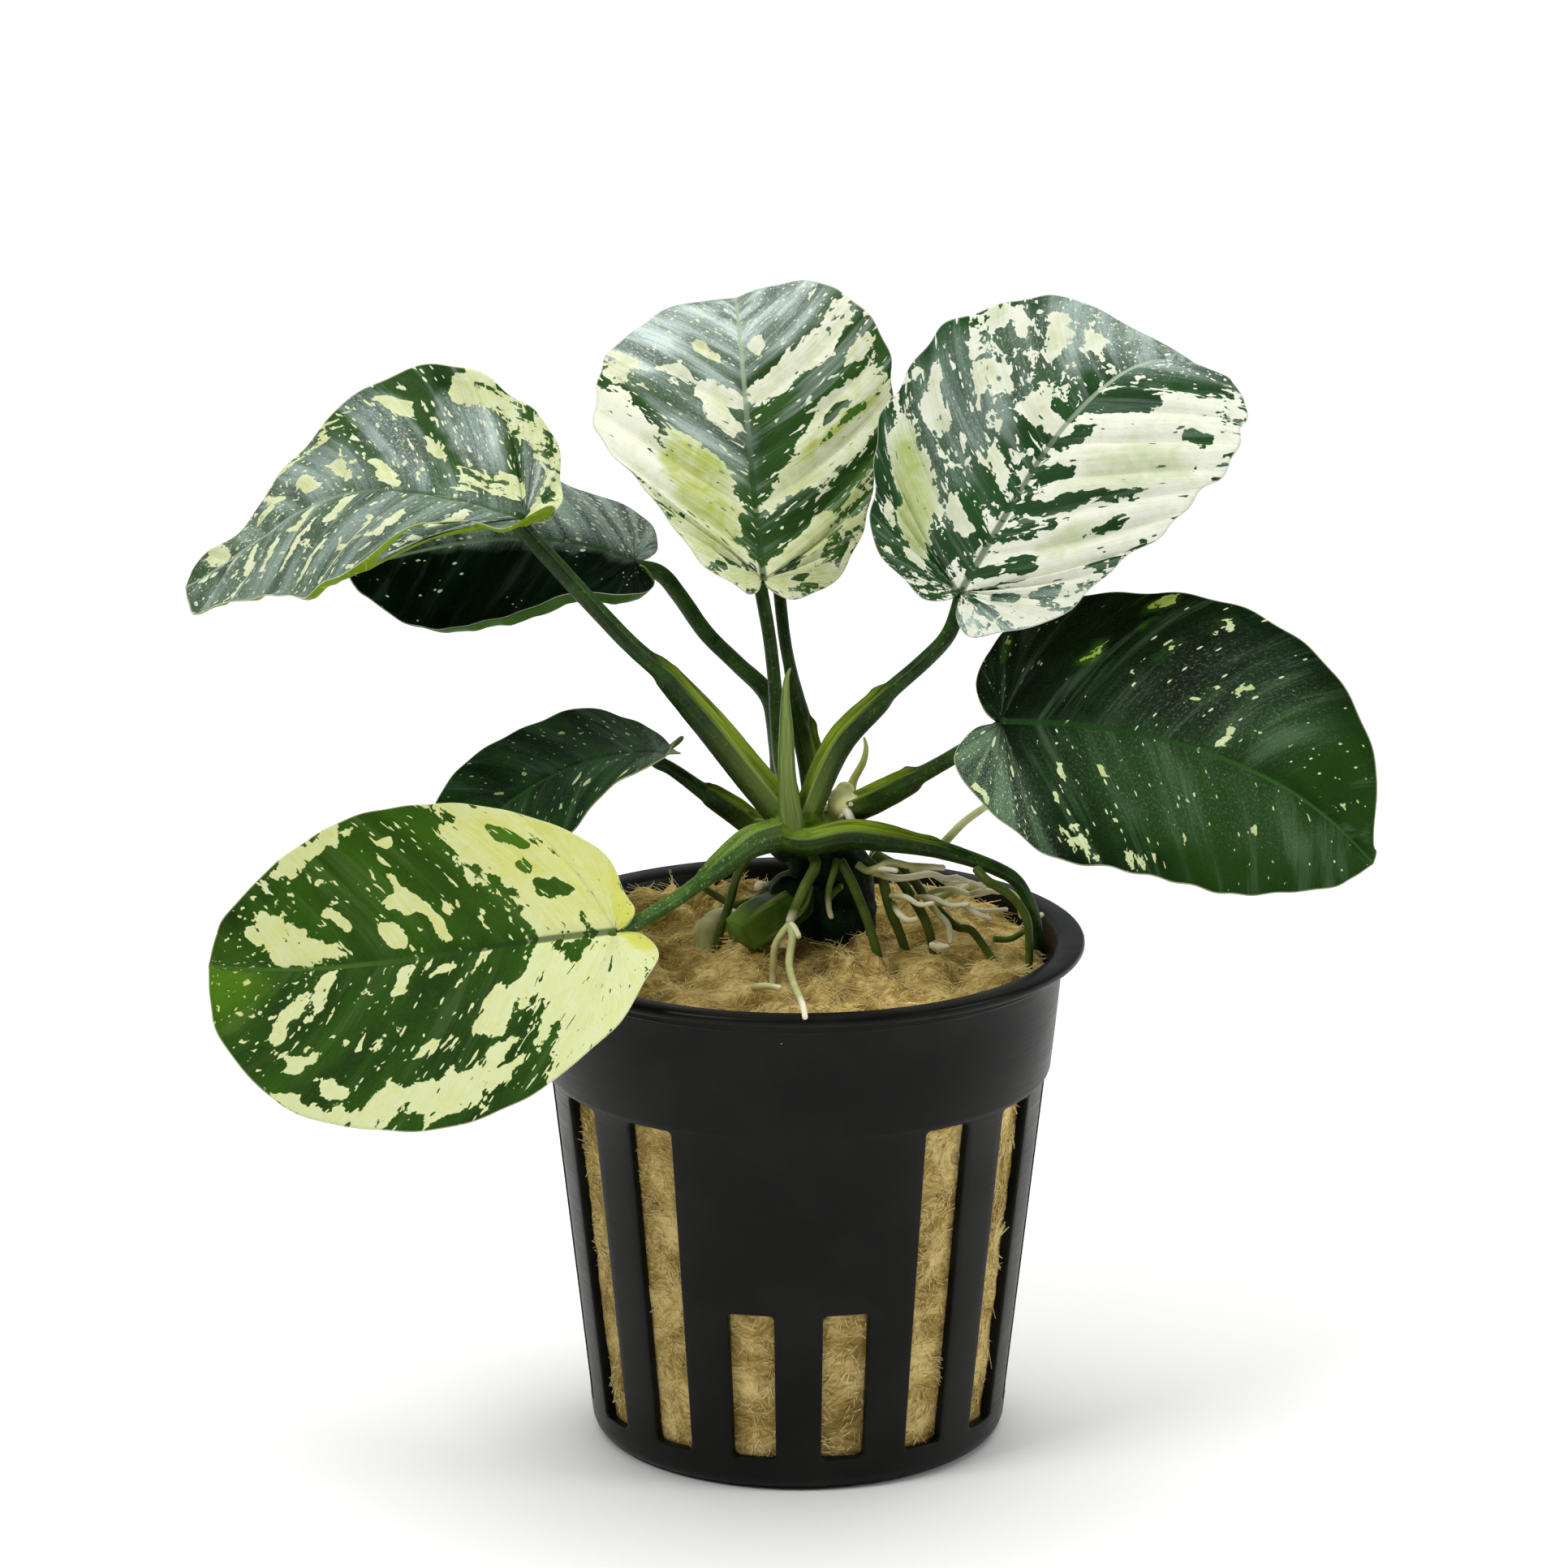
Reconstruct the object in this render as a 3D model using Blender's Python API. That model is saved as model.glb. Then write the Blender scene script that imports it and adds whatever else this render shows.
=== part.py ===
"""Potted anubias: a variegated water plant rooted in mineral wool in a black net pot.

Metres, +Z up. The origin is the centre of the pot's flat base, and -Y is the front.
Sizes and places below are in millimetres and are turned to metres when a mesh is made.
"""
import math
from dataclasses import dataclass

import bmesh
import bpy
import numpy as np

MM = 0.001
GAP = 0.3
CURVE_SAMPLES = 12

# Net pot: a tapered body with a proud upper band, a collar and a flat rim flange
POT_HEIGHT = 49.6
POT_WALL = 0.95
POT_FLOOR = 1.2
BASE_RADIUS = 19.95
BODY_TAPER = 0.112
BAND_BOTTOM = 37.1
BAND_BOTTOM_RADIUS = 24.42
COLLAR_BOTTOM = 47.6
COLLAR_TOP = 48.6
BAND_TOP_RADIUS = 25.48
COLLAR_RADIUS = 26.0
RIM_RADIUS = 27.6
RIM_INNER_RADIUS = 24.8
RIM_ROUNDING = 0.25
RIM_DIP = 0.4
COLLAR_CHAMFER = 0.1
BASE_FLAT_RADIUS = 18.45
BASE_EDGE = ((19.5, 0.4), (20.12, 1.5))
FLOOR_CORNER = ((19.0, 2.0), (17.9, POT_FLOOR))

# Slots: evenly spaced, with a short pair under the bare panel in front
SLOT_COUNT = 15
SLOT_ANGLE = 11.8
SLOT_BOTTOM = 3.4
SLOT_TOP = 36.4
SHORT_SLOT_TOP = 18.4
COLUMNS_PER_SLOT = 2
COLUMNS_PER_BAR = 2

# Mineral wool plug
WOOL_TOP = 48.0
WOOL_LUMP = 0.35
WOOL_CLEARANCE = 0.4
WOOL_RINGS = (5.0, 10.0, 15.0, 19.5, 22.6)
WOOL_EDGE_RADIUS = 23.8
WOOL_EDGE_DROP = 1.6
WOOL_BOTTOM_EDGE = ((17.0, 0.0), (18.6, 1.4))
WOOL_COLUMNS = 28

# Leaf blades
BLADE_THICKNESS = 0.6
JOINT_GAP = 0.45
VEINS = 13
VEIN_STEPS = 5
FIRST_VEIN = 0.06
FAN_SHARE = 0.40
ORIGIN_POWER = 1.08
VEIN_BOW = (0.38, 0.55)
LOBE_OUTLINE = ((0.62, 0.13), (1.0, 0.5), (0.62, 0.92))
LOBE_END = 0.02
WIDTH_STATIONS = (0.2, 0.4, 0.6, 0.8, 0.95)
MIDRIB_STEPS = 60
LOBE_REACH = 0.45
LOBE_BEND = 0.3
LIP_START = 0.7

# Bevel resolution of the round stems: 8 sides, and 6 on the thin roots
STEM_ROUNDNESS = 2
ROOT_ROUNDNESS = 1
TIP_REST = 1.3


@dataclass(frozen=True)
class Half:
    """One half of a blade, flat sizes in mm and cross-section angles in degrees."""

    lobe: float
    lobe_width: float
    widths: tuple
    fold: float = 0.0
    curl: float = 0.0
    lip: float = 0.0


@dataclass(frozen=True)
class Leaf:
    """A blade's place and form: heading 0 points to +X and 90 to +Y, in degrees."""

    name: str
    junction: tuple
    heading: float
    pitch: float
    roll: float
    twist: float
    length: float
    bends: tuple
    sway: float
    left: Half
    right: Half


LEAVES = (
    Leaf("leaf_arched", (-25.8, -4.0, 91.6), 173, 20, -1, -21, 36.5, (-17, -40, 3), -7,
         Half(3.5, 4.5, (5.5, 15.0, 15.0, 9.0, 6.0), -7, -15, 48),
         Half(2.5, 9.5, (18.0, 15.2, 8.2, 3.2, 2.2), 10, 28, 3)),
    Leaf("leaf_back_dark", (-15.7, 9.0, 84.6), 183, 24, -21, -33, 28.5, (-21, -14, -7), -1,
         Half(2.2, 8.5, (11.0, 13.0, 13.0, 10.0, 4.2), 1.5, 7.5, 35),
         Half(2.2, 10.5, (10.0, 11.5, 11.5, 8.0, 3.5), -3.5, -11, -4)),
    Leaf("leaf_top", (-3.3, 3.0, 84.1), 101, 53, 16, -33, 34.5, (1, -13, -33), -8,
         Half(2.0, 4.2, (10.3, 14.5, 14.5, 11.5, 6.5), 15.5, -22.5, 3),
         Half(2.1, 5.2, (11.0, 13.0, 14.5, 12.0, 7.0), 7.5, -7, 1)),
    Leaf("leaf_behind_top", (-2.0, 8.0, 84.6), 96, 58, 0, 0, 22.0, (0, -12, -22), 0,
         Half(2.0, 4.0, (8.0, 10.0, 9.5, 7.5, 4.0), 8, -10, 0),
         Half(2.0, 4.0, (8.0, 10.0, 9.5, 7.5, 4.0), 8, -10, 0)),
    Leaf("leaf_bright", (15.3, -2.0, 84.0), 44, 48, 24, -8, 42.5, (-4, -26, -46), 6,
         Half(2.2, 5.5, (14.0, 16.0, 15.0, 10.5, 2.8), 4.5, 7.5, 9),
         Half(3.8, 6.2, (12.6, 15.4, 15.6, 12.4, 5.0), 7, -18, 1)),
    Leaf("leaf_right_dark", (19.0, -10.0, 73.5), -6, 2, 35, 22, 39.0, (-12, -17, -25), 3,
         Half(2.6, 9.5, (16.0, 16.8, 15.4, 10.0, 2.1), 0, -5.5, 1.5),
         Half(4.2, 9.3, (15.6, 14.7, 13.7, 10.8, 5.6), 5, -10.5, -1)),
    Leaf("leaf_left_small", (-13.6, 0.0, 67.8), 178, 2, 5, -46, 25.8, (-25, -19, -11), 3,
         Half(2.6, 4.4, (9.7, 11.6, 10.0, 7.3, 3.1), 8, -22, 0),
         Half(2.3, 4.6, (11.7, 10.5, 9.3, 7.2, 3.0), -2, 12, 2.5)),
    Leaf("leaf_front", (-17.1, -21.0, 56.2), 180, -6, -43, -32, 39.0, (-5, 3, 10), -13,
         Half(3.9, 6.5, (15.2, 16.9, 16.0, 13.0, 7.0), 4.5, -5, 1),
         Half(2.0, 4.0, (12.5, 14.3, 13.9, 10.7, 5.5), 6.5, 4, 2.5)),
)


@dataclass(frozen=True)
class Stem:
    """A round stem: its route in mm, its radius at each point, and its number of rings."""

    name: str
    route: tuple
    radii: tuple
    rings: int
    leaf: str = ""
    on_wool: bool = False
    material: str = "stalk_green"


# Leaf stalks run from the crown to the underside of their blade. The lower third of each is a
# wider sheath, and a stalk's last point is worked out from its blade.
STALKS = (
    Stem("stalk_arched", ((-2.4, -1.0, 61.9), (-5.4, -1.8, 66.6), (-8.5, -2.5, 71.0), (-12.2, -3.4, 75.6),
                          (-13.3, -3.6, 76.9), (-17.0, -4.0, 80.5)),
         (1.3, 1.75, 1.6, 1.3, 0.95, 0.85, 0.85), 12, "leaf_arched"),
    Stem("stalk_back_dark", ((-1.7, 4.0, 62.3), (-2.0, 4.2, 68.4), (-2.9, 5.0, 72.1), (-5.9, 6.2, 74.9),
                             (-8.9, 7.6, 77.6), (-11.4, 8.6, 81.0), (-13.4, 9.2, 83.2)),
         (0.9, 1.0, 0.9, 0.8, 0.8, 0.8, 0.8, 0.7), 12, "leaf_back_dark"),
    Stem("stalk_top", ((-0.4, 1.2, 62.2), (-1.4, 1.0, 66.0), (-2.0, 1.5, 70.5), (-2.3, 2.0, 74.4),
                       (-2.8, 2.4, 78.7)),
         (0.85, 0.95, 0.75, 0.65, 0.65, 0.65), 10, "leaf_top"),
    Stem("stalk_behind_top", ((1.3, 3.7, 62.6), (1.05, 4.3, 65.8), (0.25, 5.0, 69.3), (-0.7, 6.0, 74.0),
                              (-1.4, 6.6, 77.9)),
         (0.9, 1.25, 1.15, 0.65, 0.6, 0.6), 10, "leaf_behind_top"),
    Stem("stalk_bright", ((2.3, -1.3, 62.5), (3.6, -1.5, 66.6), (4.9, -1.6, 69.8), (7.6, -1.9, 73.1),
                          (8.9, -2.0, 74.5), (12.2, -2.0, 77.5), (14.3, -2.0, 80.0)),
         (1.2, 1.6, 1.5, 1.2, 0.85, 0.78, 0.75, 0.75), 12, "leaf_bright"),
    Stem("stalk_right_dark", ((4.1, 0.7, 61.4), (6.9, -2.4, 63.5), (10.4, -5.4, 66.2), (11.6, -6.2, 67.2),
                              (14.4, -8.2, 69.4)),
         (0.95, 1.45, 1.3, 0.85, 0.75, 0.75), 12, "leaf_right_dark"),
    Stem("stalk_left_small", ((-4.4, 0.6, 60.4), (-6.2, 0.3, 61.8), (-8.3, 0.1, 63.3), (-9.2, 0.1, 63.9),
                              (-12.0, 0.0, 66.0)),
         (0.85, 1.2, 1.15, 0.8, 0.65, 0.65), 11, "leaf_left_small"),
    Stem("stalk_front", ((-2.7, -4.1, 60.0), (-4.8, -6.4, 60.2), (-7.6, -10.2, 59.1), (-8.8, -11.8, 58.6),
                         (-11.9, -16.0, 57.5)),
         (1.0, 1.45, 1.2, 0.8, 0.72, 0.72), 12, "leaf_front"),
)

# Stems without a blade of their own: the rolled young leaf, a bent stalk that dips into the pot,
# a dry scale leaf and the rhizome with its cut stub
OTHER_STEMS = (
    Stem("young_leaf", ((-0.6, -3.4, 61.5), (-1.1, -3.2, 66.0), (-1.2, -3.1, 71.0), (-1.2, -3.1, 74.3),
                        (-0.8, -3.2, 76.9)),
         (0.85, 0.95, 0.75, 0.45, 0.12), 11),
    Stem("bent_stalk", ((1.8, -3.6, 59.8), (4.8, -4.1, 60.7), (7.8, -4.1, 60.4), (10.8, -4.0, 59.8),
                        (13.7, -3.5, 59.0), (16.7, -3.0, 57.9), (19.1, -2.5, 56.8), (20.9, -2.0, 55.5),
                        (22.2, -1.5, 53.1), (22.9, -1.0, 50.8), (23.0, -0.6, 49.4)),
         (0.95, 1.35, 1.3, 1.05, 0.9, 0.75, 0.7, 0.65, 0.6, 0.55, 0.5), 18, on_wool=True),
    Stem("scale_leaf", ((4.9, 3.3, 62.6), (5.3, 3.2, 64.1), (6.2, 3.0, 65.9), (6.5, 3.0, 67.3),
                        (6.3, 3.0, 68.5)),
         (0.45, 0.4, 0.35, 0.25, 0.1), 8, material="root_cream"),
    Stem("rhizome", ((3.5, 1.0, 49.2), (3.4, 1.0, 52.0), (3.2, 1.0, 55.5), (1.9, 0.5, 58.2),
                     (0.8, 0.0, 59.8)),
         (3.9, 4.2, 4.0, 3.2, 1.8), 8, material="rhizome_dark"),
    Stem("rhizome_stub", ((-0.6, -3.0, 53.6), (-3.4, -5.2, 52.4), (-5.6, -6.7, 51.2)),
         (2.0, 2.4, 2.1), 5, material="rhizome_dark"),
)

# Roots from the rhizome. One that ends on the wool has its last point set on its surface
ROOTS = (
    Stem("root_front", ((1.6, -4.1, 57.6), (0.4, -5.9, 55.7), (-0.6, -7.6, 53.8), (-0.9, -8.2, 53.2)),
         (0.7, 0.75, 0.62, 0.55), 7, material="root_green"),
    Stem("root_front_left", ((-1.6, -9.1, 52.3), (-2.3, -10.0, 51.1), (-2.5, -10.8, 49.4)),
         (0.45, 0.45, 0.4), 5, on_wool=True, material="root_cream"),
    Stem("root_front_long", ((-0.6, -9.6, 52.1), (-0.9, -12.5, 50.4), (-0.4, -17.0, 49.6), (0.1, -22.2, 50.1),
                             (0.4, -26.2, 50.45), (0.6, -28.2, 50.0)),
         (0.45, 0.45, 0.45, 0.45, 0.42, 0.3), 12, material="root_cream"),
    Stem("root_loose", ((-4.3, -15.2, 49.1), (-3.0, -16.1, 49.3), (-1.6, -16.6, 49.3)),
         (0.35, 0.35, 0.3), 5, on_wool=True, material="root_cream"),
    Stem("root_left", ((-2.6, -0.4, 58.8), (-4.7, -1.1, 57.7), (-5.9, -1.5, 55.8), (-6.7, -2.0, 53.0),
                       (-7.5, -2.5, 50.7), (-8.0, -2.8, 49.0)),
         (0.5, 0.5, 0.5, 0.5, 0.5, 0.5), 10, on_wool=True, material="root_green"),
    Stem("root_left_curly", ((-1.7, 1.0, 54.9), (-2.9, 0.5, 53.8), (-4.1, 0.1, 53.0), (-6.2, 0.1, 52.6),
                             (-8.1, 1.0, 53.3), (-9.2, 2.0, 53.8)),
         (0.55, 0.6, 0.6, 0.55, 0.5, 0.35), 11, material="root_green"),
    Stem("root_swollen", ((-9.0, -0.6, 49.6), (-8.7, 1.4, 50.0), (-7.6, 3.0, 50.4), (-5.6, 4.0, 50.2)),
         (0.7, 1.15, 1.0, 0.6), 8, material="root_cream"),
    Stem("root_hanging", ((3.4, -3.8, 57.0), (2.9, -4.3, 55.3), (2.9, -4.6, 53.6), (3.2, -4.6, 52.6)),
         (0.5, 0.55, 0.5, 0.35), 7, material="root_green"),
    Stem("root_right_1", ((4.9, -4.0, 56.4), (6.0, -4.9, 54.0), (6.9, -6.0, 51.7), (7.7, -6.6, 49.2)),
         (0.55, 0.6, 0.6, 0.55), 8, on_wool=True, material="root_green"),
    Stem("root_right_2", ((7.9, -2.3, 56.2), (8.7, -2.5, 53.1), (9.6, -2.6, 50.8), (10.4, -2.6, 49.2)),
         (0.55, 0.6, 0.6, 0.55), 8, on_wool=True, material="root_green"),
    Stem("root_right_3", ((8.9, -0.6, 56.4), (10.9, -1.1, 53.6), (12.3, -1.8, 51.2), (13.3, -2.3, 49.2)),
         (0.55, 0.6, 0.6, 0.5), 8, on_wool=True, material="root_green"),
    Stem("root_right_4", ((8.7, 1.7, 56.4), (10.4, 1.3, 55.6), (12.0, 1.0, 53.4), (13.9, 0.7, 51.4),
                          (15.3, 0.4, 50.2), (16.8, 0.2, 49.8), (19.2, -1.0, 49.2)),
         (0.5, 0.55, 0.55, 0.5, 0.5, 0.5, 0.4), 11, on_wool=True, material="root_green"),
    Stem("root_pale_1", ((6.6, -3.3, 56.9), (7.4, -4.0, 57.3), (8.8, -3.9, 57.9), (10.8, -3.3, 57.4),
                         (14.1, -2.2, 56.9)),
         (0.35, 0.4, 0.4, 0.35, 0.3), 10, material="root_cream"),
    Stem("root_pale_2", ((13.4, 2.2, 52.6), (15.7, 2.6, 53.5), (18.2, 3.0, 53.6), (19.9, 3.3, 53.1),
                         (21.1, 3.3, 52.2), (21.7, 3.2, 50.6)),
         (0.35, 0.4, 0.4, 0.35, 0.35, 0.3), 11, material="root_cream"),
    Stem("root_aerial", ((13.4, -1.6, 58.6), (14.4, -0.2, 59.3), (16.0, 2.0, 60.3), (18.0, 4.0, 61.2),
                         (20.1, 6.0, 62.2)),
         (0.45, 0.45, 0.4, 0.35, 0.3), 8, material="root_cream"),
    Stem("root_from_bent_stalk", ((17.9, -4.6, 56.4), (20.2, -5.2, 55.0), (21.6, -5.6, 53.2),
                                  (22.0, -5.9, 51.2), (22.0, -6.0, 49.4)),
         (0.45, 0.45, 0.4, 0.4, 0.35), 10, on_wool=True, material="root_green"),
)

# Colour and roughness of each finish, none of which is metal
FINISHES = {
    "pot_black": ((0.022, 0.022, 0.021), 0.42),
    "wool_tan": ((0.36, 0.27, 0.12), 0.95),
    "blade_variegated": ((0.20, 0.33, 0.08), 0.38),
    "blade_dark": ((0.012, 0.045, 0.012), 0.35),
    "stalk_green": ((0.10, 0.19, 0.03), 0.45),
    "rhizome_dark": ((0.03, 0.07, 0.015), 0.55),
    "root_green": ((0.09, 0.16, 0.03), 0.5),
    "root_cream": ((0.66, 0.62, 0.40), 0.5),
}
DARK_LEAVES = ("leaf_back_dark", "leaf_right_dark", "leaf_left_small", "leaf_behind_top")


def clear_scene():
    """Remove the objects that the scene holds."""
    for obj in list(bpy.data.objects):
        bpy.data.objects.remove(obj, do_unlink=True)


def finish(name):
    """The Principled material of that finish, made once."""
    known = bpy.data.materials.get(name)
    if known:
        return known
    colour, roughness = FINISHES[name]
    material = bpy.data.materials.new(name)
    material.use_nodes = True
    shader = material.node_tree.nodes["Principled BSDF"]
    shader.inputs["Base Color"].default_value = (*colour, 1.0)
    shader.inputs["Roughness"].default_value = roughness
    shader.inputs["Metallic"].default_value = 0.0
    return material


def add_object(name, data, finish_name, parent):
    """Link an object of that mesh or curve under the parent empty."""
    obj = bpy.data.objects.new(name, data)
    data.materials.append(finish(finish_name))
    bpy.context.scene.collection.objects.link(obj)
    obj.parent = parent
    return obj


def mesh_from(bm, name):
    """Turn a bmesh in millimetres into a smooth-shaded mesh in metres."""
    bmesh.ops.scale(bm, vec=(MM, MM, MM), verts=bm.verts)
    mesh = bpy.data.meshes.new(name)
    bm.to_mesh(mesh)
    bm.free()
    mesh.shade_smooth()
    mesh.set_sharp_from_angle(angle=math.radians(40))
    return mesh


def smooth_curve(points, shares):
    """Points on a Catmull-Rom curve through the points, at the given shares of its length."""
    p = np.asarray(points, dtype=float)
    ends = np.vstack([2 * p[0] - p[1], p, 2 * p[-1] - p[-2]])
    t = np.linspace(0.0, 1.0, CURVE_SAMPLES, endpoint=False)[:, None]
    runs = []
    for k in range(len(p) - 1):
        a, b, c, d = ends[k:k + 4]
        runs.append(0.5 * (2 * b + (c - a) * t + (2 * a - 5 * b + 4 * c - d) * t ** 2
                           + (3 * b - a - 3 * c + d) * t ** 3))
    dense = np.vstack(runs + [p[-1:]])
    steps = np.linalg.norm(np.diff(dense[:, :3], axis=0), axis=1)
    along = np.concatenate([[0.0], np.cumsum(steps)])
    at = np.asarray(shares) * along[-1]
    return np.stack([np.interp(at, along, dense[:, k]) for k in range(p.shape[1])], axis=1)


def body_radius(z):
    """Outer radius of the slotted body at height z."""
    return BASE_RADIUS + BODY_TAPER * z


def pot_profile():
    """The pot's closed half section: (radius, height), up the outside and down the inside."""
    return (
        (BASE_FLAT_RADIUS, 0.0),
        *BASE_EDGE,
        (body_radius(SLOT_BOTTOM), SLOT_BOTTOM),
        (body_radius(SHORT_SLOT_TOP), SHORT_SLOT_TOP),
        (body_radius(SLOT_TOP), SLOT_TOP),
        (BAND_BOTTOM_RADIUS, BAND_BOTTOM),
        (BAND_TOP_RADIUS, COLLAR_BOTTOM),
        (COLLAR_RADIUS, COLLAR_BOTTOM + COLLAR_CHAMFER),
        (COLLAR_RADIUS, COLLAR_TOP),
        (RIM_RADIUS - RIM_ROUNDING, COLLAR_TOP),
        (RIM_RADIUS, (COLLAR_TOP + POT_HEIGHT) / 2),
        (RIM_RADIUS - RIM_ROUNDING, POT_HEIGHT),
        (RIM_INNER_RADIUS + RIM_ROUNDING, POT_HEIGHT - RIM_DIP / 2),
        (RIM_INNER_RADIUS, POT_HEIGHT - RIM_DIP),
        (BAND_TOP_RADIUS - POT_WALL, COLLAR_BOTTOM),
        (BAND_BOTTOM_RADIUS - POT_WALL, BAND_BOTTOM),
        (body_radius(SLOT_TOP) - POT_WALL, SLOT_TOP),
        (body_radius(SHORT_SLOT_TOP) - POT_WALL, SHORT_SLOT_TOP),
        (body_radius(SLOT_BOTTOM) - POT_WALL, SLOT_BOTTOM),
        *FLOOR_CORNER,
    )


def pot_columns():
    """The direction of each column in degrees from the front, and its slot number or None."""
    period = 360.0 / SLOT_COUNT
    bar = period - SLOT_ANGLE
    columns = []
    for slot in range(SLOT_COUNT):
        start = (slot + 0.5) * period - SLOT_ANGLE / 2
        for k in range(COLUMNS_PER_SLOT):
            columns.append((start + SLOT_ANGLE * k / COLUMNS_PER_SLOT, slot))
        for k in range(COLUMNS_PER_BAR):
            columns.append((start + SLOT_ANGLE + bar * k / COLUMNS_PER_BAR, None))
    return columns


def make_net_pot(parent):
    """The slotted pot as one turned wall whose slots are left open and lined."""
    profile = pot_profile()
    columns = pot_columns()
    heights = [z for _, z in profile]
    outer = {z: heights.index(z) for z in (SLOT_BOTTOM, SHORT_SLOT_TOP, SLOT_TOP)}
    inner = {z: len(heights) - 1 - heights[::-1].index(z) for z in (SLOT_BOTTOM, SHORT_SLOT_TOP, SLOT_TOP)}
    short_slots = (0, SLOT_COUNT - 1)
    bm = bmesh.new()
    rings = []
    for angle, _ in columns:
        turn = math.radians(angle)
        rings.append([bm.verts.new((r * math.sin(turn), -r * math.cos(turn), z)) for r, z in profile])
    under = bm.verts.new((0.0, 0.0, 0.0))
    floor = bm.verts.new((0.0, 0.0, POT_FLOOR))

    def open_rows(slot):
        """Rows of cells that a slot leaves open, outside and inside."""
        if slot is None:
            return set(), set()
        top = SHORT_SLOT_TOP if slot in short_slots else SLOT_TOP
        return (set(range(outer[SLOT_BOTTOM], outer[top])), set(range(inner[top], inner[SLOT_BOTTOM])))

    for index, (_, slot) in enumerate(columns):
        here, there = rings[index], rings[(index + 1) % len(columns)]
        outside, inside = open_rows(slot)
        for row in range(len(profile) - 1):
            if row not in outside and row not in inside:
                bm.faces.new((here[row], there[row], there[row + 1], here[row + 1]))
        bm.faces.new((under, there[0], here[0]))
        bm.faces.new((floor, here[-1], there[-1]))
        if slot is None:
            continue
        low, high = min(outside), max(outside) + 1
        top_in, low_in = min(inside), max(inside) + 1
        bm.faces.new((here[low_in], here[low], there[low], there[low_in])[::-1])
        bm.faces.new((here[top_in], here[high], there[high], there[top_in]))
        before = columns[index - 1][1]
        after = columns[(index + 1) % len(columns)][1]
        for side, ring, flip in ((before, here, False), (after, there, True)):
            if side is not None:
                continue
            for step in range(high - low):
                quad = (ring[low + step], ring[low + step + 1], ring[low_in - step - 1], ring[low_in - step])
                bm.faces.new(quad[::-1] if flip else quad)
    bmesh.ops.recalc_face_normals(bm, faces=bm.faces)
    return add_object("net_pot", mesh_from(bm, "net_pot"), "pot_black", parent)


def wool_height(x, y):
    """Height of the wool's lumpy top, which rises a little towards the front of the rim."""
    lumps = math.sin(0.42 * x + 0.6) * math.cos(0.37 * y - 0.4) + 0.5 * math.sin(0.71 * x - 0.53 * y)
    return WOOL_TOP + WOOL_LUMP * lumps - 0.02 * y


def make_wool_plug(parent):
    """The plug that fills the pot, clear of its wall and floor."""
    bottom = POT_FLOOR + WOOL_CLEARANCE
    sides = [(radius, bottom + rise) for radius, rise in WOOL_BOTTOM_EDGE]
    sides.append((body_radius(SLOT_TOP) - POT_WALL - WOOL_CLEARANCE, SLOT_TOP))
    sides.append((WOOL_EDGE_RADIUS, WOOL_TOP - WOOL_EDGE_DROP))
    bm = bmesh.new()
    base = bm.verts.new((0.0, 0.0, bottom))
    crown = bm.verts.new((0.0, 0.0, wool_height(0.0, 0.0)))
    rings = []
    for column in range(WOOL_COLUMNS):
        turn = 2 * math.pi * column / WOOL_COLUMNS
        ring = [bm.verts.new((r * math.cos(turn), r * math.sin(turn), z)) for r, z in sides]
        for r in reversed(WOOL_RINGS):
            x, y = r * math.cos(turn), r * math.sin(turn)
            ring.append(bm.verts.new((x, y, wool_height(x, y))))
        rings.append(ring)
    for column, here in enumerate(rings):
        there = rings[(column + 1) % WOOL_COLUMNS]
        for row in range(len(here) - 1):
            bm.faces.new((here[row], there[row], there[row + 1], here[row + 1]))
        bm.faces.new((base, there[0], here[0]))
        bm.faces.new((crown, here[-1], there[-1]))
    return add_object("rockwool_plug", mesh_from(bm, "rockwool_plug"), "wool_tan", parent)


def margin(leaf, half, shares):
    """Flat margin of a half blade from the junction round its lobe to the tip: (along, across)."""
    points = [(0.0, 0.0)]
    points += [(-reach * half.lobe, width * half.lobe_width) for reach, width in LOBE_OUTLINE]
    points.append((LOBE_END * leaf.length, (half.lobe_width + half.widths[0]) / 2))
    points += [(share * leaf.length, width) for share, width in zip(WIDTH_STATIONS, half.widths)]
    points.append((leaf.length, 0.0))
    return smooth_curve(points, shares)


def midrib_frames(leaf):
    """Stations along the midrib with their places, side and normal directions in space."""
    along = np.linspace(-LOBE_REACH * leaf.length, leaf.length, MIDRIB_STEPS)
    x = along / leaf.length
    first, second, third = leaf.bends
    turned = np.interp(x, [-LOBE_REACH, 0, 1 / 3, 2 / 3, 1],
                       [-LOBE_BEND * first, 0, first, first + second, first + second + third])
    pitch = np.radians(leaf.pitch + turned)
    heading = np.radians(leaf.heading + leaf.sway * x)
    roll = np.radians(leaf.roll + leaf.twist * x)[:, None]
    flat = np.cos(pitch)
    forward = np.stack([flat * np.cos(heading), flat * np.sin(heading), np.sin(pitch)], axis=1)
    level = np.stack([-np.sin(heading), np.cos(heading), np.zeros_like(heading)], axis=1)
    upright = np.cross(forward, level)
    side = level * np.cos(roll) + upright * np.sin(roll)
    normal = upright * np.cos(roll) - level * np.sin(roll)
    step = along[1] - along[0]
    place = np.vstack([np.zeros(3), np.cumsum((forward[1:] + forward[:-1]) / 2 * step, axis=0)])
    start = np.array([np.interp(0.0, along, place[:, k]) for k in range(3)])
    return along, place - start + np.array(leaf.junction), side, normal


def read_at(along, values, u):
    """Values along the midrib, read at the distances u."""
    return np.stack([np.interp(u, along, values[:, k]) for k in range(3)], axis=-1)


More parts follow.
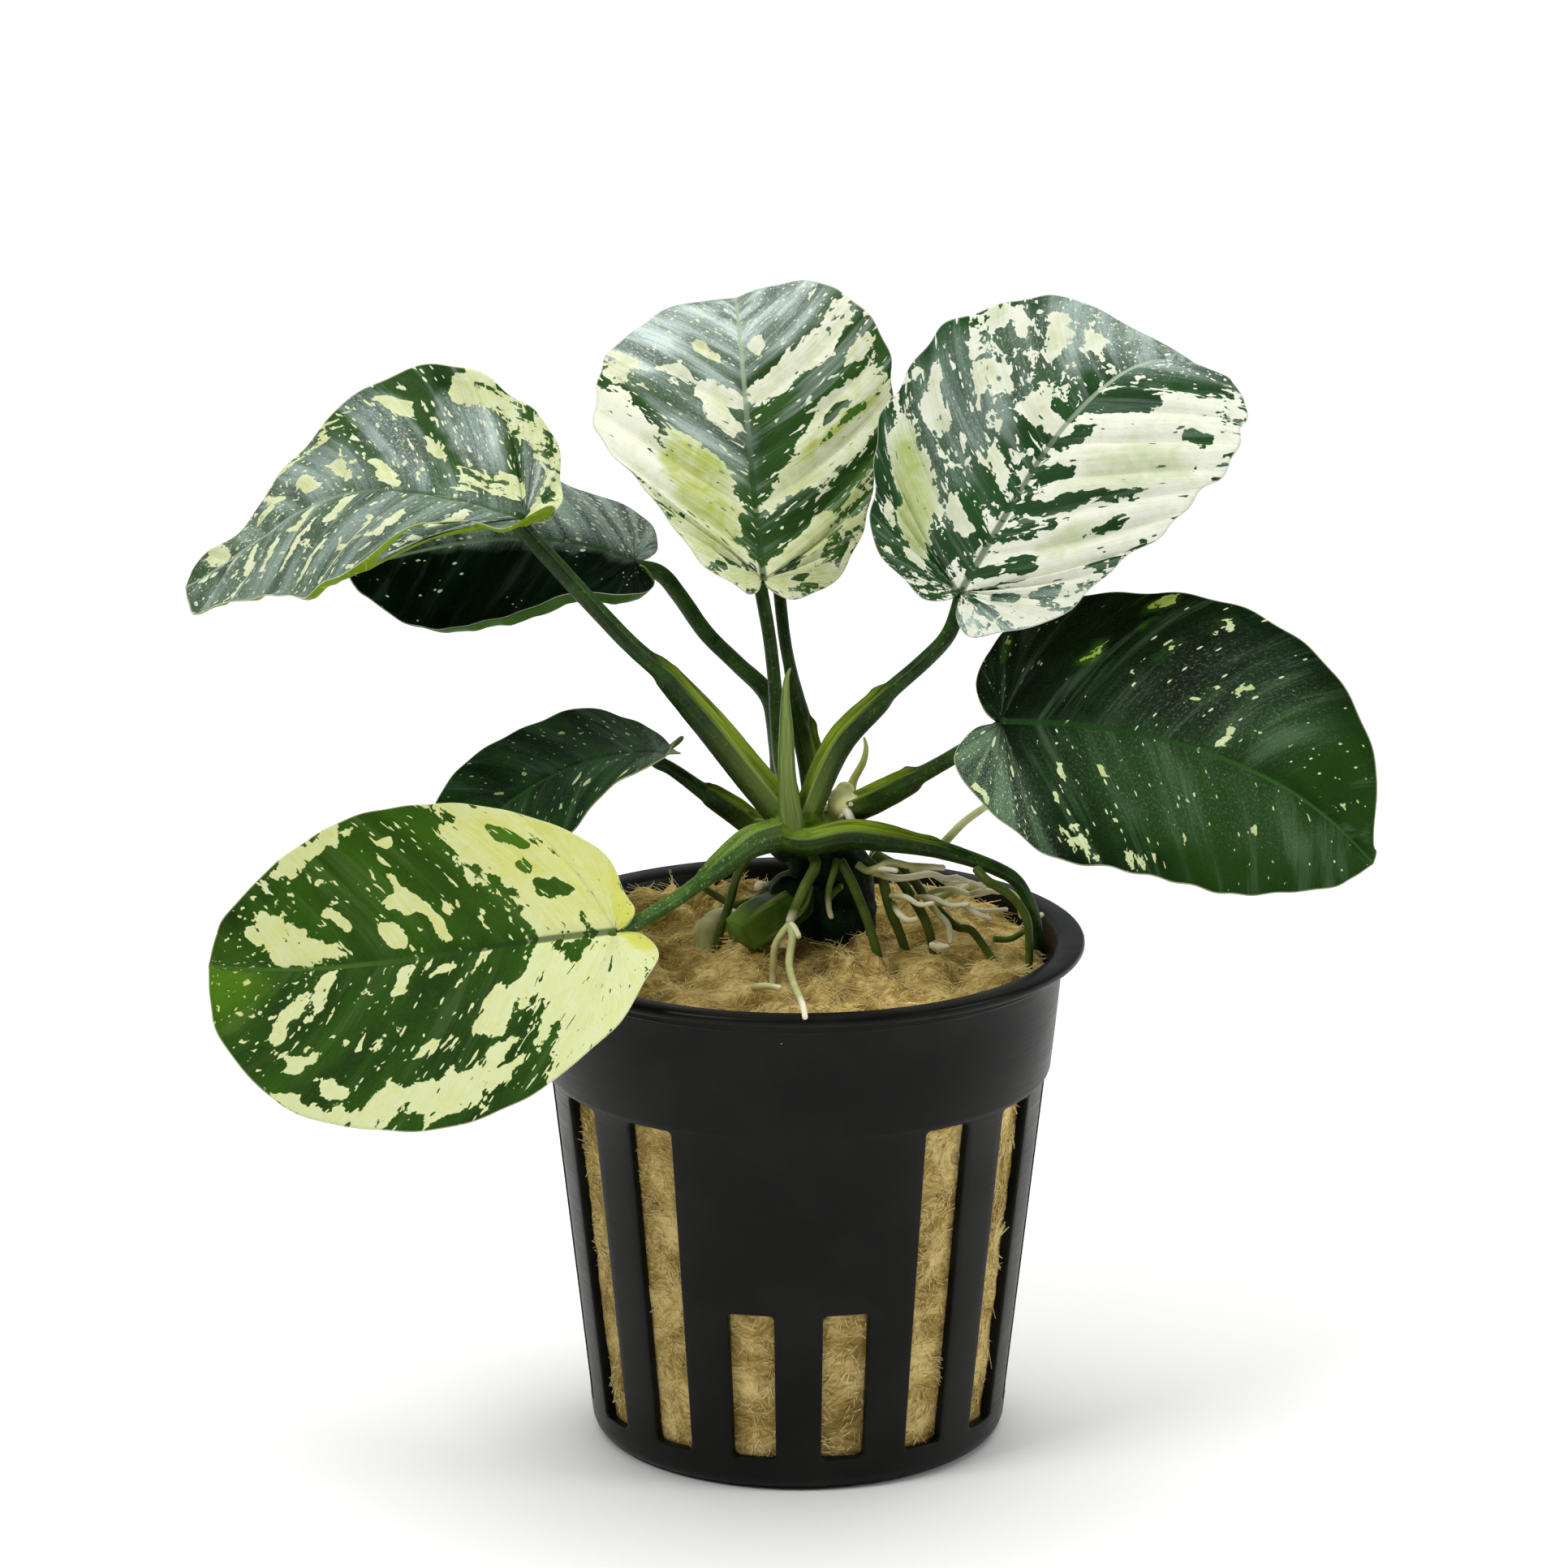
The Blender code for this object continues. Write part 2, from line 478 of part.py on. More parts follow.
def half_grid(leaf, half, side_sign):
    """Points of one half of the upper side: a row for each vein, from midrib to margin."""
    shares = np.linspace(FIRST_VEIN, 1.0, VEINS)
    edge = margin(leaf, half, shares)
    origin = leaf.length * np.clip((shares - FAN_SHARE) / (1 - FAN_SHARE), 0, 1) ** ORIGIN_POWER
    t = np.linspace(0.0, 1.0, VEIN_STEPS)[None, :]
    bow_u = (origin + VEIN_BOW[0] * (edge[:, 0] - origin))[:, None]
    bow_v = (VEIN_BOW[1] * edge[:, 1])[:, None]
    u = (1 - t) ** 2 * origin[:, None] + 2 * t * (1 - t) * bow_u + t ** 2 * edge[:, :1]
    v = 2 * t * (1 - t) * bow_v + t ** 2 * edge[:, 1:]
    lip = np.clip((t - LIP_START) / (1 - LIP_START), 0, 1)
    lip = lip * lip * (3 - 2 * lip)
    widest = max((half.lobe_width,) + half.widths)
    slope = np.radians(half.fold + half.curl * v / widest + half.lip * lip)
    middle = (slope[:, 1:] + slope[:, :-1]) / 2
    run = np.diff(v, axis=1)
    nought = np.zeros((VEINS, 1))
    across = np.concatenate([nought, np.cumsum(np.cos(middle) * run, axis=1)], axis=1)
    lift = np.concatenate([nought, np.cumsum(np.sin(middle) * run, axis=1)], axis=1)
    along, place, side, normal = midrib_frames(leaf)
    return (read_at(along, place, u) + side_sign * across[..., None] * read_at(along, side, u)
            + lift[..., None] * read_at(along, normal, u))


def make_blade(leaf, parent):
    """A blade as one skin with a Solidify thickness, its two halves joined along the midrib."""
    grids = {sign: half_grid(leaf, half, sign) for sign, half in ((1, leaf.left), (-1, leaf.right))}
    shares = np.linspace(FIRST_VEIN, 1.0, VEINS)
    bm = bmesh.new()
    junction = bm.verts.new(grids[1][0, 0])
    tip = bm.verts.new(grids[1][-1, 0])
    midrib = [junction if share <= FAN_SHARE else bm.verts.new(grids[1][k, 0])
              for k, share in enumerate(shares[:-1])]
    for sign, grid in grids.items():
        rows = [[midrib[k]] + [bm.verts.new(point) for point in grid[k, 1:]] for k in range(VEINS - 1)]
        rows.append([tip] * VEIN_STEPS)
        for k in range(VEINS - 1):
            for j in range(VEIN_STEPS - 1):
                corners = [rows[k][j], rows[k + 1][j], rows[k + 1][j + 1], rows[k][j + 1]]
                face = list(dict.fromkeys(corners))
                if len(face) > 2:
                    bm.faces.new(face if sign > 0 else face[::-1])
    finish_name = "blade_dark" if leaf.name in DARK_LEAVES else "blade_variegated"
    obj = add_object(leaf.name, mesh_from(bm, leaf.name), finish_name, parent)
    skin = obj.modifiers.new("thickness", "SOLIDIFY")
    skin.thickness = BLADE_THICKNESS * MM
    skin.offset = -1.0
    return obj


def stalk_end(leaf, previous, radius):
    """Where a stalk stops under its blade: clear of the underside by the gap."""
    along, _, _, normals = midrib_frames(leaf)
    normal = read_at(along, normals, np.array([0.0]))[0]
    normal /= np.linalg.norm(normal)
    joint = np.array(leaf.junction)
    heading = joint - np.array(previous)
    lean = float(heading @ normal) / np.linalg.norm(heading)
    rise = radius * math.sqrt(max(0.0, 1 - lean * lean))
    return tuple(joint - normal * (BLADE_THICKNESS + JOINT_GAP + rise))


def make_stem(stem, parent, roundness):
    """A round stem as a bevelled curve with closed ends."""
    route = list(stem.route)
    if stem.leaf:
        leaf = next(item for item in LEAVES if item.name == stem.leaf)
        route.append(stalk_end(leaf, route[-1], stem.radii[-1]))
    if stem.on_wool:
        x, y, _ = route[-1]
        route[-1] = (x, y, wool_height(x, y) + GAP + TIP_REST * stem.radii[-1])
    points = smooth_curve([(*place, radius) for place, radius in zip(route, stem.radii)],
                          np.linspace(0.0, 1.0, stem.rings))
    curve = bpy.data.curves.new(stem.name, "CURVE")
    curve.dimensions = "3D"
    curve.bevel_depth = MM
    curve.bevel_resolution = roundness
    curve.use_fill_caps = True
    spline = curve.splines.new("POLY")
    spline.points.add(len(points) - 1)
    for point, (x, y, z, radius) in zip(spline.points, points):
        point.co = (x * MM, y * MM, z * MM, 1.0)
        point.radius = radius
    spline.use_smooth = True
    return add_object(stem.name, curve, stem.material, parent)


def main():
    """Build the plant and its pot under one empty at the centre of the base."""
    clear_scene()
    plant = bpy.data.objects.new("potted_anubias", None)
    bpy.context.scene.collection.objects.link(plant)
    make_net_pot(plant)
    make_wool_plug(plant)
    for leaf in LEAVES:
        make_blade(leaf, plant)
    for stem in STALKS + OTHER_STEMS:
        make_stem(stem, plant, STEM_ROUNDNESS)
    for root in ROOTS:
        make_stem(root, plant, ROOT_ROUNDNESS)


main()
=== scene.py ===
"""Looks of a potted anubias: a variegated water plant on mineral wool in a slotted net pot.

Lengths inside the classes are millimetres and become metres when a mesh is made. The frame's
origin is the centre of the pot's flat base, +Z is up and -Y is the front.
"""
from __future__ import annotations

import logging
import math
from dataclasses import dataclass, field
from enum import Enum
from functools import partial
from typing import Any, Callable

import bmesh
import bpy
import numpy as np
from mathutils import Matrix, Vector, noise


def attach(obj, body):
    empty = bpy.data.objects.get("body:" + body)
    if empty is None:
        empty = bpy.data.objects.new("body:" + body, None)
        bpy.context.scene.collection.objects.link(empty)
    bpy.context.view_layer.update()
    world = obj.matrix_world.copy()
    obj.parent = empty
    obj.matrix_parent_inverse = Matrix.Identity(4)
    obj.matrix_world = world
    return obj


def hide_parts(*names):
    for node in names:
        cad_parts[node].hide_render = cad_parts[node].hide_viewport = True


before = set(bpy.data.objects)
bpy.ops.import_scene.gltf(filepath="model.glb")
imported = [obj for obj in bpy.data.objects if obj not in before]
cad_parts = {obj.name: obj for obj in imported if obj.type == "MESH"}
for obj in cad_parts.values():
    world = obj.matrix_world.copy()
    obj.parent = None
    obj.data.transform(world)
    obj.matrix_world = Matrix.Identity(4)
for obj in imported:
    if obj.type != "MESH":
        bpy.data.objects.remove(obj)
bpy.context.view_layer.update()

LOG = logging.getLogger("potted_anubias")
MM = 0.001
BODY = "root"

# Without a seed of its own the noise takes its offsets from the clock, and no two runs are alike
NOISE_SEED = 1

Point = tuple[float, float, float]
Ball = tuple[float, float, float, float]
Section = tuple[np.ndarray, np.ndarray, np.ndarray]
CENTRE = (0.0, 0.0, 0.0)


def srgb(code: str) -> tuple[float, ...]:
    """Turn an sRGB hex colour to linear RGBA.

    Args:
        code: the colour as six hex digits after a hash sign.

    Returns:
        Linear red, green, blue and an alpha of 1.
    """
    channels = [int(code[k:k + 2], 16) / 255 for k in (1, 3, 5)]
    return (*(c / 12.92 if c <= 0.04045 else ((c + 0.055) / 1.055) ** 2.4 for c in channels), 1.0)


def feed(node: bpy.types.Node, inputs: dict[Any, Any]) -> None:
    """Fill a node's sockets.

    Args:
        node: the node.
        inputs: socket name or number to a value, a hex colour or the output that feeds it.
    """
    for key, value in inputs.items():
        if isinstance(value, bpy.types.NodeSocket):
            node.id_data.links.new(value, node.inputs[key])
        else:
            is_colour = isinstance(value, str) and value.startswith("#")
            node.inputs[key].default_value = srgb(value) if is_colour else value


def add_node(tree: bpy.types.NodeTree, kind: str, inputs: dict[Any, Any] | None = None,
             out: int | str | None = None, **settings: Any) -> bpy.types.NodeSocket | None:
    """Add one node to a tree, with its settings, values and links.

    Args:
        tree: the tree of a material, a world or a piece's geometry.
        kind: the node's type name, in a shader tree without its ShaderNode.
        inputs: what fills its sockets.
        out: the output to give back, by default the first, or a Mix node's colour.
        settings: the node's own properties.

    Returns:
        One of its outputs, or None from a node without any.
    """
    node = tree.nodes.new("ShaderNode" + kind if tree.bl_idname == "ShaderNodeTree" else kind)
    if kind == "Mix":
        node.data_type = "RGBA"
    for key, value in settings.items():
        setattr(node, key, value)
    feed(node, inputs or {})
    if out is None:
        out = 2 if kind == "Mix" else 0
    return node.outputs[out] if node.outputs else None


def start_material(name: str) -> tuple[bpy.types.Material, Callable[..., Any]]:
    """Make a material with a node tree.

    Args:
        name: the material's name.

    Returns:
        The material and the function that adds a node to its tree.
    """
    material = bpy.data.materials.new(name)
    material.use_nodes = True
    return material, partial(add_node, material.node_tree)


def close_material(material: bpy.types.Material, tint: Any, roughness: Any, bump: Any = None,
                   ior: float = 1.45, specular: float = 0.2) -> bpy.types.Material:
    """Feed a material's surface shader and give the material back.

    Args:
        material: the material.
        tint: its colour, as a hex colour or an output.
        roughness: its roughness, as a number or an output.
        bump: the output of its bump, if it has one.
        ior: its index of refraction.
        specular: how strongly it mirrors.

    Returns:
        The material.
    """
    feed(material.node_tree.nodes["Principled BSDF"], {
        "Base Color": tint, "Roughness": roughness, "IOR": ior, "Specular IOR Level": specular,
        **({} if bump is None else {"Normal": bump})})
    return material


def start_growth(name: str, source: str, inputs: dict[str, str]) -> tuple[Any, Callable[..., Any], Any]:
    """Start a geometry node tree.

    Args:
        name: the tree's name.
        source: the name of the geometry that comes in.
        inputs: the socket type of each further input, by name.

    Returns:
        The tree, the function that adds a node to it, and its inputs as outputs to link from.
    """
    tree = bpy.data.node_groups.new(name, "GeometryNodeTree")
    for label, kind in {source: "Geometry", **inputs, "Finish": "Material"}.items():
        tree.interface.new_socket(label, in_out="INPUT", socket_type=f"NodeSocket{kind}")
    tree.interface.new_socket("Made", in_out="OUTPUT", socket_type="NodeSocketGeometry")
    node = partial(add_node, tree)
    return tree, node, node("NodeGroupInput").node.outputs


def close_growth(node: Callable[..., Any], made: Any, finish: Any) -> None:
    """End a geometry tree: make its instances real, dress them and give them out.

    Args:
        node: the function that adds a node to the tree.
        made: the output with the geometry.
        finish: the output with the material.
    """
    real = node("GeometryNodeRealizeInstances", {0: made})
    node("NodeGroupOutput", {0: node("GeometryNodeSetMaterial", {"Geometry": real, "Material": finish})})


def grow(piece: bpy.types.Object, tree: bpy.types.NodeTree, values: dict[str, Any]) -> bpy.types.Object:
    """Run a geometry tree on a piece and keep what it makes as a plain mesh.

    Args:
        piece: the object that the tree starts from; it is used up.
        tree: the tree.
        values: its inputs by name.

    Returns:
        The object with the plain mesh.
    """
    layer = piece.modifiers.new("growth", "NODES")
    layer.node_group = tree
    for item in tree.interface.items_tree:
        if item.item_type == "SOCKET" and item.name in values:
            layer[item.identifier] = values[item.name]
    return plain_mesh(piece)


def smooth_step(values: np.ndarray, low: float, high: float) -> np.ndarray:
    """Ramp smoothly from 0 at low to 1 at high."""
    x = np.clip((values - low) / (high - low), 0.0, 1.0)
    return x * x * (3 - 2 * x)


def fade(values: np.ndarray, low: float, high: float) -> np.ndarray:
    """Ramp smoothly from 1 at low to 0 at high."""
    return 1 - smooth_step(values, low, high)


def hill(values: np.ndarray, width: float) -> np.ndarray:
    """A rounded hill, 1 high at 0 and about as wide on each side as given."""
    return np.exp(-(values / width) ** 2)


def read_rows(at: np.ndarray, along: np.ndarray, rows: np.ndarray) -> np.ndarray:
    """Read each column of some rows, which stand at rising places, at places in between."""
    return np.stack([np.interp(at, along, column) for column in rows.T], axis=-1)


def running_length(points: np.ndarray) -> np.ndarray:
    """The length of a path up to each of its points."""
    return np.concatenate([[0.0], np.cumsum(np.linalg.norm(np.diff(points, axis=0), axis=1))])


def smooth_curve(points: Any, shares: np.ndarray) -> np.ndarray:
    """Read a Catmull-Rom curve through some points.

    Args:
        points: the curve's points; columns past the third ride along.
        shares: where to read it, as shares of its length.

    Returns:
        One row for each share.
    """
    p = np.asarray(points, dtype=float)
    ends = np.vstack([2 * p[0] - p[1], p, 2 * p[-1] - p[-2]])
    t = np.linspace(0.0, 1.0, 12, endpoint=False)[:, None]
    runs = [0.5 * (2 * b + (c - a) * t + (2 * a - 5 * b + 4 * c - d) * t ** 2
                   + (3 * b - a - 3 * c + d) * t ** 3)
            for a, b, c, d in zip(ends, ends[1:], ends[2:], ends[3:])]
    dense = np.vstack(runs + [p[-1:]])
    along = running_length(dense[:, :3])
    return read_rows(np.asarray(shares) * along[-1], along, dense)


def on_circle(radius: float, turn: float) -> tuple[float, float]:
    """The x and y of a point round the pot's axis, at an angle in radians from the front."""
    return radius * math.sin(turn), -radius * math.cos(turn)


def tube_faces(rings: int, columns: int) -> list[tuple[int, ...]]:
    """Close a tube whose points come ring by ring, and then the middle of its two ends.

    Args:
        rings: how many rings it has.
        columns: how many points a ring has.

    Returns:
        Vertex numbers of each face.
    """
    last, base = (rings - 1) * columns, rings * columns
    after = [(k + 1) % columns for k in range(columns)]
    faces = [(row + k, row + after[k], row + columns + after[k], row + columns + k)
             for row in range(0, last, columns) for k in range(columns)]
    for k in range(columns):
        faces += [(base, after[k], k), (base + 1, last + k, last + after[k])]
    return faces


def place_object(name: str, data: bpy.types.ID) -> bpy.types.Object:
    """Make an object and link it to the scene.

    Args:
        name: its name.
        data: its mesh, lamp or camera.

    Returns:
        The object.
    """
    made = bpy.data.objects.new(name, data)
    bpy.context.scene.collection.objects.link(made)
    return made


def mesh_object(name: str, points: Any, faces: list, materials: tuple[bpy.types.Material, ...] = (),
                attributes: dict[str, Any] | None = None, slots: Any = None,
                edges: Any = ()) -> bpy.types.Object:
    """Make a smooth-shaded mesh object from points in millimetres.

    Args:
        name: the piece's name.
        points: one row of x, y and z for each vertex.
        faces: vertex numbers of each face.
        materials: the materials of its slots.
        attributes: a number or a vector for each vertex, by name.
        slots: the material slot of each face.
        edges: vertex numbers of edges that belong to no face.

    Returns:
        The linked object, with its place in its mesh.
    """
    mesh = bpy.data.meshes.new(name)
    mesh.from_pydata((np.asarray(points) * MM).tolist(), edges, faces)
    for key, rows in (attributes or {}).items():
        values = np.asarray(rows, dtype=np.float32)
        kind, item = ("FLOAT", "value") if values.ndim == 1 else ("FLOAT_VECTOR", "vector")
        mesh.attributes.new(key, kind, "POINT").data.foreach_set(item, values.ravel())
    for material in materials:
        mesh.materials.append(material)
    if slots is not None:
        mesh.polygons.foreach_set("material_index", np.asarray(slots, dtype=np.int32))
    mesh.shade_smooth()
    mesh.update()
    return place_object(name, mesh)


def add_modifier(piece: bpy.types.Object, name: str, kind: str, **settings: Any) -> None:
    """Give a piece a modifier.

    Args:
        piece: the piece.
        name: the modifier's name.
        kind: its type name.
        settings: its own properties.
    """
    layer = piece.modifiers.new(name, kind)
    for key, value in settings.items():
        setattr(layer, key, value)


def plain_mesh(piece: bpy.types.Object) -> bpy.types.Object:
    """Swap a piece's live modifiers for the plain mesh that they make.

    Args:
        piece: the object with its modifiers.

    Returns:
        The object of that name, with a plain mesh and no modifier.
    """
    graph = bpy.context.evaluated_depsgraph_get()
    mesh = bpy.data.meshes.new_from_object(piece.evaluated_get(graph), preserve_all_data_layers=True,
                                           depsgraph=graph)
    name = piece.name
    bpy.data.objects.remove(piece, do_unlink=True)
    mesh.name = name
    return place_object(name, mesh)


def hand_over(piece: bpy.types.Object, slot: str, *nodes: str) -> None:
    """Give a finished piece to the frame and report it.

    Args:
        piece: the finished object.
        slot: the record's material slot of the piece; not used.
        nodes: the frame's nodes that it stands for.
    """
    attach(piece, BODY)
    if nodes:
        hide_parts(*nodes)
    LOG.info("%s: %d vertices", piece.name, len(piece.data.vertices))


class Surface(Enum):
    """The two faces of a leaf blade."""

    UPPER = "upper"
    UNDER = "under"


@dataclass(frozen=True)
class PotPlastic:
    """Injection-moulded polypropylene, near black, with the satin skin of a textured mould."""

    base: str = "#0c0c0b"
    worn: str = "#191917"
    roughness: float = 0.36
    brush_mm: float = 0.16
    grain_mm: float = 0.25

    def material(self) -> bpy.types.Material:
        """Make satin plastic with faint level brushing and a fine moulded grain.

        Returns:
            The material.
        """
        material, node = start_material("satin_polypropylene")
        place = node("TexCoord", out="Object")
        level = node("Mapping", {"Vector": place, "Scale": (0.03, 0.03, 1.0)})
        brush = node("TexNoise", {"Vector": level, "Scale": 1 / (self.brush_mm * MM), "Detail": 3.0,
                                  "Roughness": 0.6})
        grain = node("TexNoise", {"Vector": place, "Scale": 1 / (self.grain_mm * MM), "Detail": 2.0})
        cloud = node("TexNoise", {"Vector": place, "Scale": 90.0, "Detail": 3.0})
        rub = node("MapRange", {0: cloud, 1: 0.45, 2: 0.75})
        tint = node("Mix", {0: rub, 6: self.base, 7: self.worn})
        gloss = node("MapRange", {0: brush, 1: 0.3, 2: 0.7, 3: self.roughness - 0.05, 4: self.roughness + 0.08})
        fine = node("Bump", {"Height": grain, "Strength": 0.10, "Distance": 0.02 * MM})
        bump = node("Bump", {"Height": brush, "Strength": 0.12, "Distance": 0.03 * MM, "Normal": fine})
        return close_material(material, tint, gloss, bump, ior=1.49, specular=0.12)


@dataclass(frozen=True)
class WoolFinish:
    """Basalt mineral wool: matt brown-tan glassy fibres, with painted shade darkening the creases of the top.

    Real fibres are far finer than the render shows, so their streaks are drawn 0.3 mm apart.
    """

    light: str = "#efdc9e"
    mid: str = "#ccad60"
    dark: str = "#64501e"
    fibre_mm: float = 0.3
    clump_mm: float = 5.0

    def material(self, name: str, lift: float) -> bpy.types.Material:
        """Make tan wool with combed fibre streaks that swirl from clump to clump.

        Args:
            name: the material's name.
            lift: how far the colours are mixed towards the light tone, 0 to 1, which makes a lit copy for the
                loose fibres and a shaded copy for the block.

        Returns:
            The material.
        """
        material, node = start_material(name)
        place = node("TexCoord", out="Object")
        swirl = node("TexNoise", {"Vector": place, "Scale": 1 / (self.clump_mm * MM), "Detail": 2.0}, "Color")
        bent = node("VectorMath", {0: swirl, "Scale": 6.0 * MM}, operation="SCALE")
        moved = node("VectorMath", {0: place, 1: bent}, operation="ADD")
        combed = node("Mapping", {"Vector": moved, "Rotation": (0.5, 0.7, 0.4), "Scale": (0.16, 1.0, 1.0)})
        fibre = node("TexNoise", {"Vector": combed, "Scale": 1 / (self.fibre_mm * MM), "Detail": 4.0,
                                  "Roughness": 0.7})
        clump = node("TexNoise", {"Vector": moved, "Scale": 260.0, "Detail": 4.0})
        both = node("Math", {0: fibre, 1: clump}, operation="ADD")
        ramp = node("MapRange", {0: both, 1: 0.72, 2: 1.28, 3: lift, 4: 1.0 + lift})
        low = node("Mix", {0: ramp, 6: self.dark, 7: self.mid})
        over = node("Math", {0: ramp, 1: 0.5}, operation="SUBTRACT", use_clamp=True)
        tint = node("Mix", {0: over, 6: low, 7: self.light})
        # Painted shade: the creases of the top are darkened towards the dark tone
        sunk = node("Attribute", out="Fac", attribute_name="crease")
        crease_shade = node("Math", {0: sunk, 1: 0.7}, operation="MULTIPLY", use_clamp=True)
        tint = node("Mix", {0: crease_shade, 6: tint, 7: self.dark})
        bump = node("Bump", {"Height": fibre, "Strength": 0.8, "Distance": 0.12 * MM})
        return close_material(material, tint, 0.85, bump, ior=1.5, specular=0.3)


@dataclass(frozen=True)
class BladeFinish:
    """A leathery leaf blade with a thin wax gloss, green tissue marbled with cream, and painted sheen,
    highlights and glints.

    Cream patches have no green cells, so they look paler. The patches keep to the vein
    directions, because each grew from one cell line.
    """

    name: str
    deep: str
    mid: str
    # Colour of the painted sheen, a reflection painted on the glossy skin
    haze: str
    cream: str
    lime: str
    leaf_green: str
    rib: str
    rib_tip: str = "#8fa88c"
    # Underside colours: its own paler green, partly painted light shining through the blade
    under: str = "#5f7c26"
    under_cream: str = "#b0b566"
    flecks: float = 0.06
    # More pale flecks where sheen is painted: painted glints
    sheen_glints: float = 0.22
    fleck_cells: tuple[float, float] = (230.0, 20.0)
    # Colour of the painted glints in the painted sheen
    glint: str = "#e6ece6"
    edge_noise: float = 1.2
    edge_scale: tuple[float, float] = (44.0, 4.0)
    chips: float = 1.0
    streaks: float = 0.3
    roughness: float = 0.34
    gloss: float = 0.2
    # Strength of the painted highlights on the folds and fine veins
    vein_highlight_strength: float = 0.2
    bands: float = 30.0
    grain_along: bool = False

    def material(self, surface: Surface) -> bpy.types.Material:
        """Make the blade's material for its upper side or its underside.

        Args:
            surface: which face of the blade it is for.

        Returns:
            The material.
        """
        material, node = start_material(f"leaf_{self.name}_{surface.value}")
        vein, flat, paint = (node("Attribute", out=1, attribute_name=key) for key in ("vein", "flat", "paint"))
        cream_bias, haze, lime = node("SeparateXYZ", {0: paint}).node.outputs
        inset = node("SeparateXYZ", {0: vein}, 2)
        _, across, rib_width = node("SeparateXYZ", {0: flat}).node.outputs

        # Noises drawn out one way: scale across and along, place, detail, roughness and distortion
        grain = (flat, (0.20, 1.5)) if self.grain_along else (vein, self.edge_scale)
        edge, sliver, cloud, band, streak, glint = (
            node("TexNoise", {"Vector": node("Mapping", {"Vector": source, "Scale": (*scale, 0.0),
                                                           "Location": start}),
                              "Scale": 1.0, "Detail": detail, "Roughness": rough, "Distortion": warp})
            for source, scale, start, detail, rough, warp in (
                (*grain, CENTRE, 2.0, 0.5, 0.0),
                (vein, (78.0, 8.5), (3.0, 5.0, 0.0), 2.0, 0.5, 0.4),
                (vein, (16.0, 1.3), CENTRE, 4.0, 0.55, 0.0),
                (vein, (self.bands, 0.9), CENTRE, 1.0, 0.5, 0.3),
                (vein, (150.0, 2.2), CENTRE, 3.0, 0.6, 0.0),
                (vein, (330.0, 42.0), CENTRE, 2.0, 0.7, 0.0)))

        # Even noises over the flat blade: scale, detail, roughness and distortion
        broad, finer, mottle, blotch, skin = (
            node("TexNoise", {"Vector": flat, "Scale": scale, "Detail": detail,
                              "Roughness": rough, "Distortion": warp})
            for scale, detail, rough, warp in ((0.42, 2.0, 0.5, 0.8), (1.5, 2.0, 0.5, 0.8),
                                               (5.0, 4.0, 0.7, 0.0),
                                               (0.55, 3.0, 0.5, 1.0), (9.0, 2.0, 0.5, 0.0)))

        # One noise along the veins and two even ones move the patch edges
        total = node("Math", {0: broad, 1: 1.0, 2: edge}, operation="MULTIPLY_ADD")
        total = node("Math", {0: finer, 1: 0.5, 2: total}, operation="MULTIPLY_ADD")
        wander = node("MapRange", {0: total, 1: 0.85, 2: 1.65, 3: -self.edge_noise, 4: self.edge_noise})
        level = node("Math", {0: cream_bias, 1: wander}, operation="ADD")

        # Slivers of the other tissue lie along the veins, cream in the green and green in the cream
        for low, high, push in ((0.62, 0.70, 2.4), (0.36, 0.28, -1.7)):
            step = node("MapRange", {0: sliver, 1: low, 2: high, 4: push * self.chips})
            level = node("Math", {0: level, 1: step}, operation="ADD")
        is_cream = node("MapRange", {0: level, 1: -0.05, 2: 0.05})

        # Small pale flecks sit in the green, drawn out along the veins; where sheen is painted more of them
        # stand, as painted glints
        long_cells = node("Mapping", {"Vector": vein, "Scale": (*self.fleck_cells, 0.0)})
        cells = node("TexVoronoi", {"Vector": long_cells, "Scale": 1.0}).node.outputs
        chance, bulk, _ = node("SeparateColor", {0: cells["Color"]}).node.outputs
        wanted = node("Math", {0: haze, 1: self.sheen_glints, 2: self.flecks}, operation="MULTIPLY_ADD")
        chosen = node("Math", {0: chance, 1: wanted}, operation="LESS_THAN")
        size = node("Math", {0: bulk, 1: 0.42, 2: 0.06}, operation="MULTIPLY_ADD")
        dot = node("Math", {0: cells["Distance"], 1: size}, operation="LESS_THAN")
        fleck = node("Math", {0: chosen, 1: dot}, operation="MULTIPLY")

        # Greens: deep and mid tissue in soft clouds along the veins, which also paint the pleats' shade and
        # light;
        # painted highlights on the folds and fine veins, a painted sheen banded by the folds, and painted
        # glints
        clouded = node("Math", {0: mottle, 1: 0.5, 2: cloud}, operation="MULTIPLY_ADD")
        # Painted shade and light of the pleats, together with the tissue's own deep and mid tones
        depth = node("MapRange", {0: clouded, 1: 0.62, 2: 0.92})
        halo = node("MapRange", {0: level, 1: -0.7, 2: -0.1, 4: 0.45})
        ribs = node("Math", {0: streak, 1: 0.6, 2: band}, operation="MULTIPLY_ADD")
        # Painted highlights on the folds and fine veins
        vein_highlight = node("MapRange", {0: ribs, 1: 0.84, 2: 1.08, 4: self.vein_highlight_strength})
        # Painted sheen, stronger on the folds
        sheen_strength = node("MapRange", {0: clouded, 1: 0.55, 2: 0.95, 3: 0.5, 4: 1.1})
        folded = node("MapRange", {0: ribs, 1: 0.66, 2: 0.96, 3: 0.35, 4: 1.4})
        sheen_strength = node("Math", {0: sheen_strength, 1: folded}, operation="MULTIPLY")
        sheen_cover = node("Math", {0: haze, 1: sheen_strength}, operation="MULTIPLY", use_clamp=True)
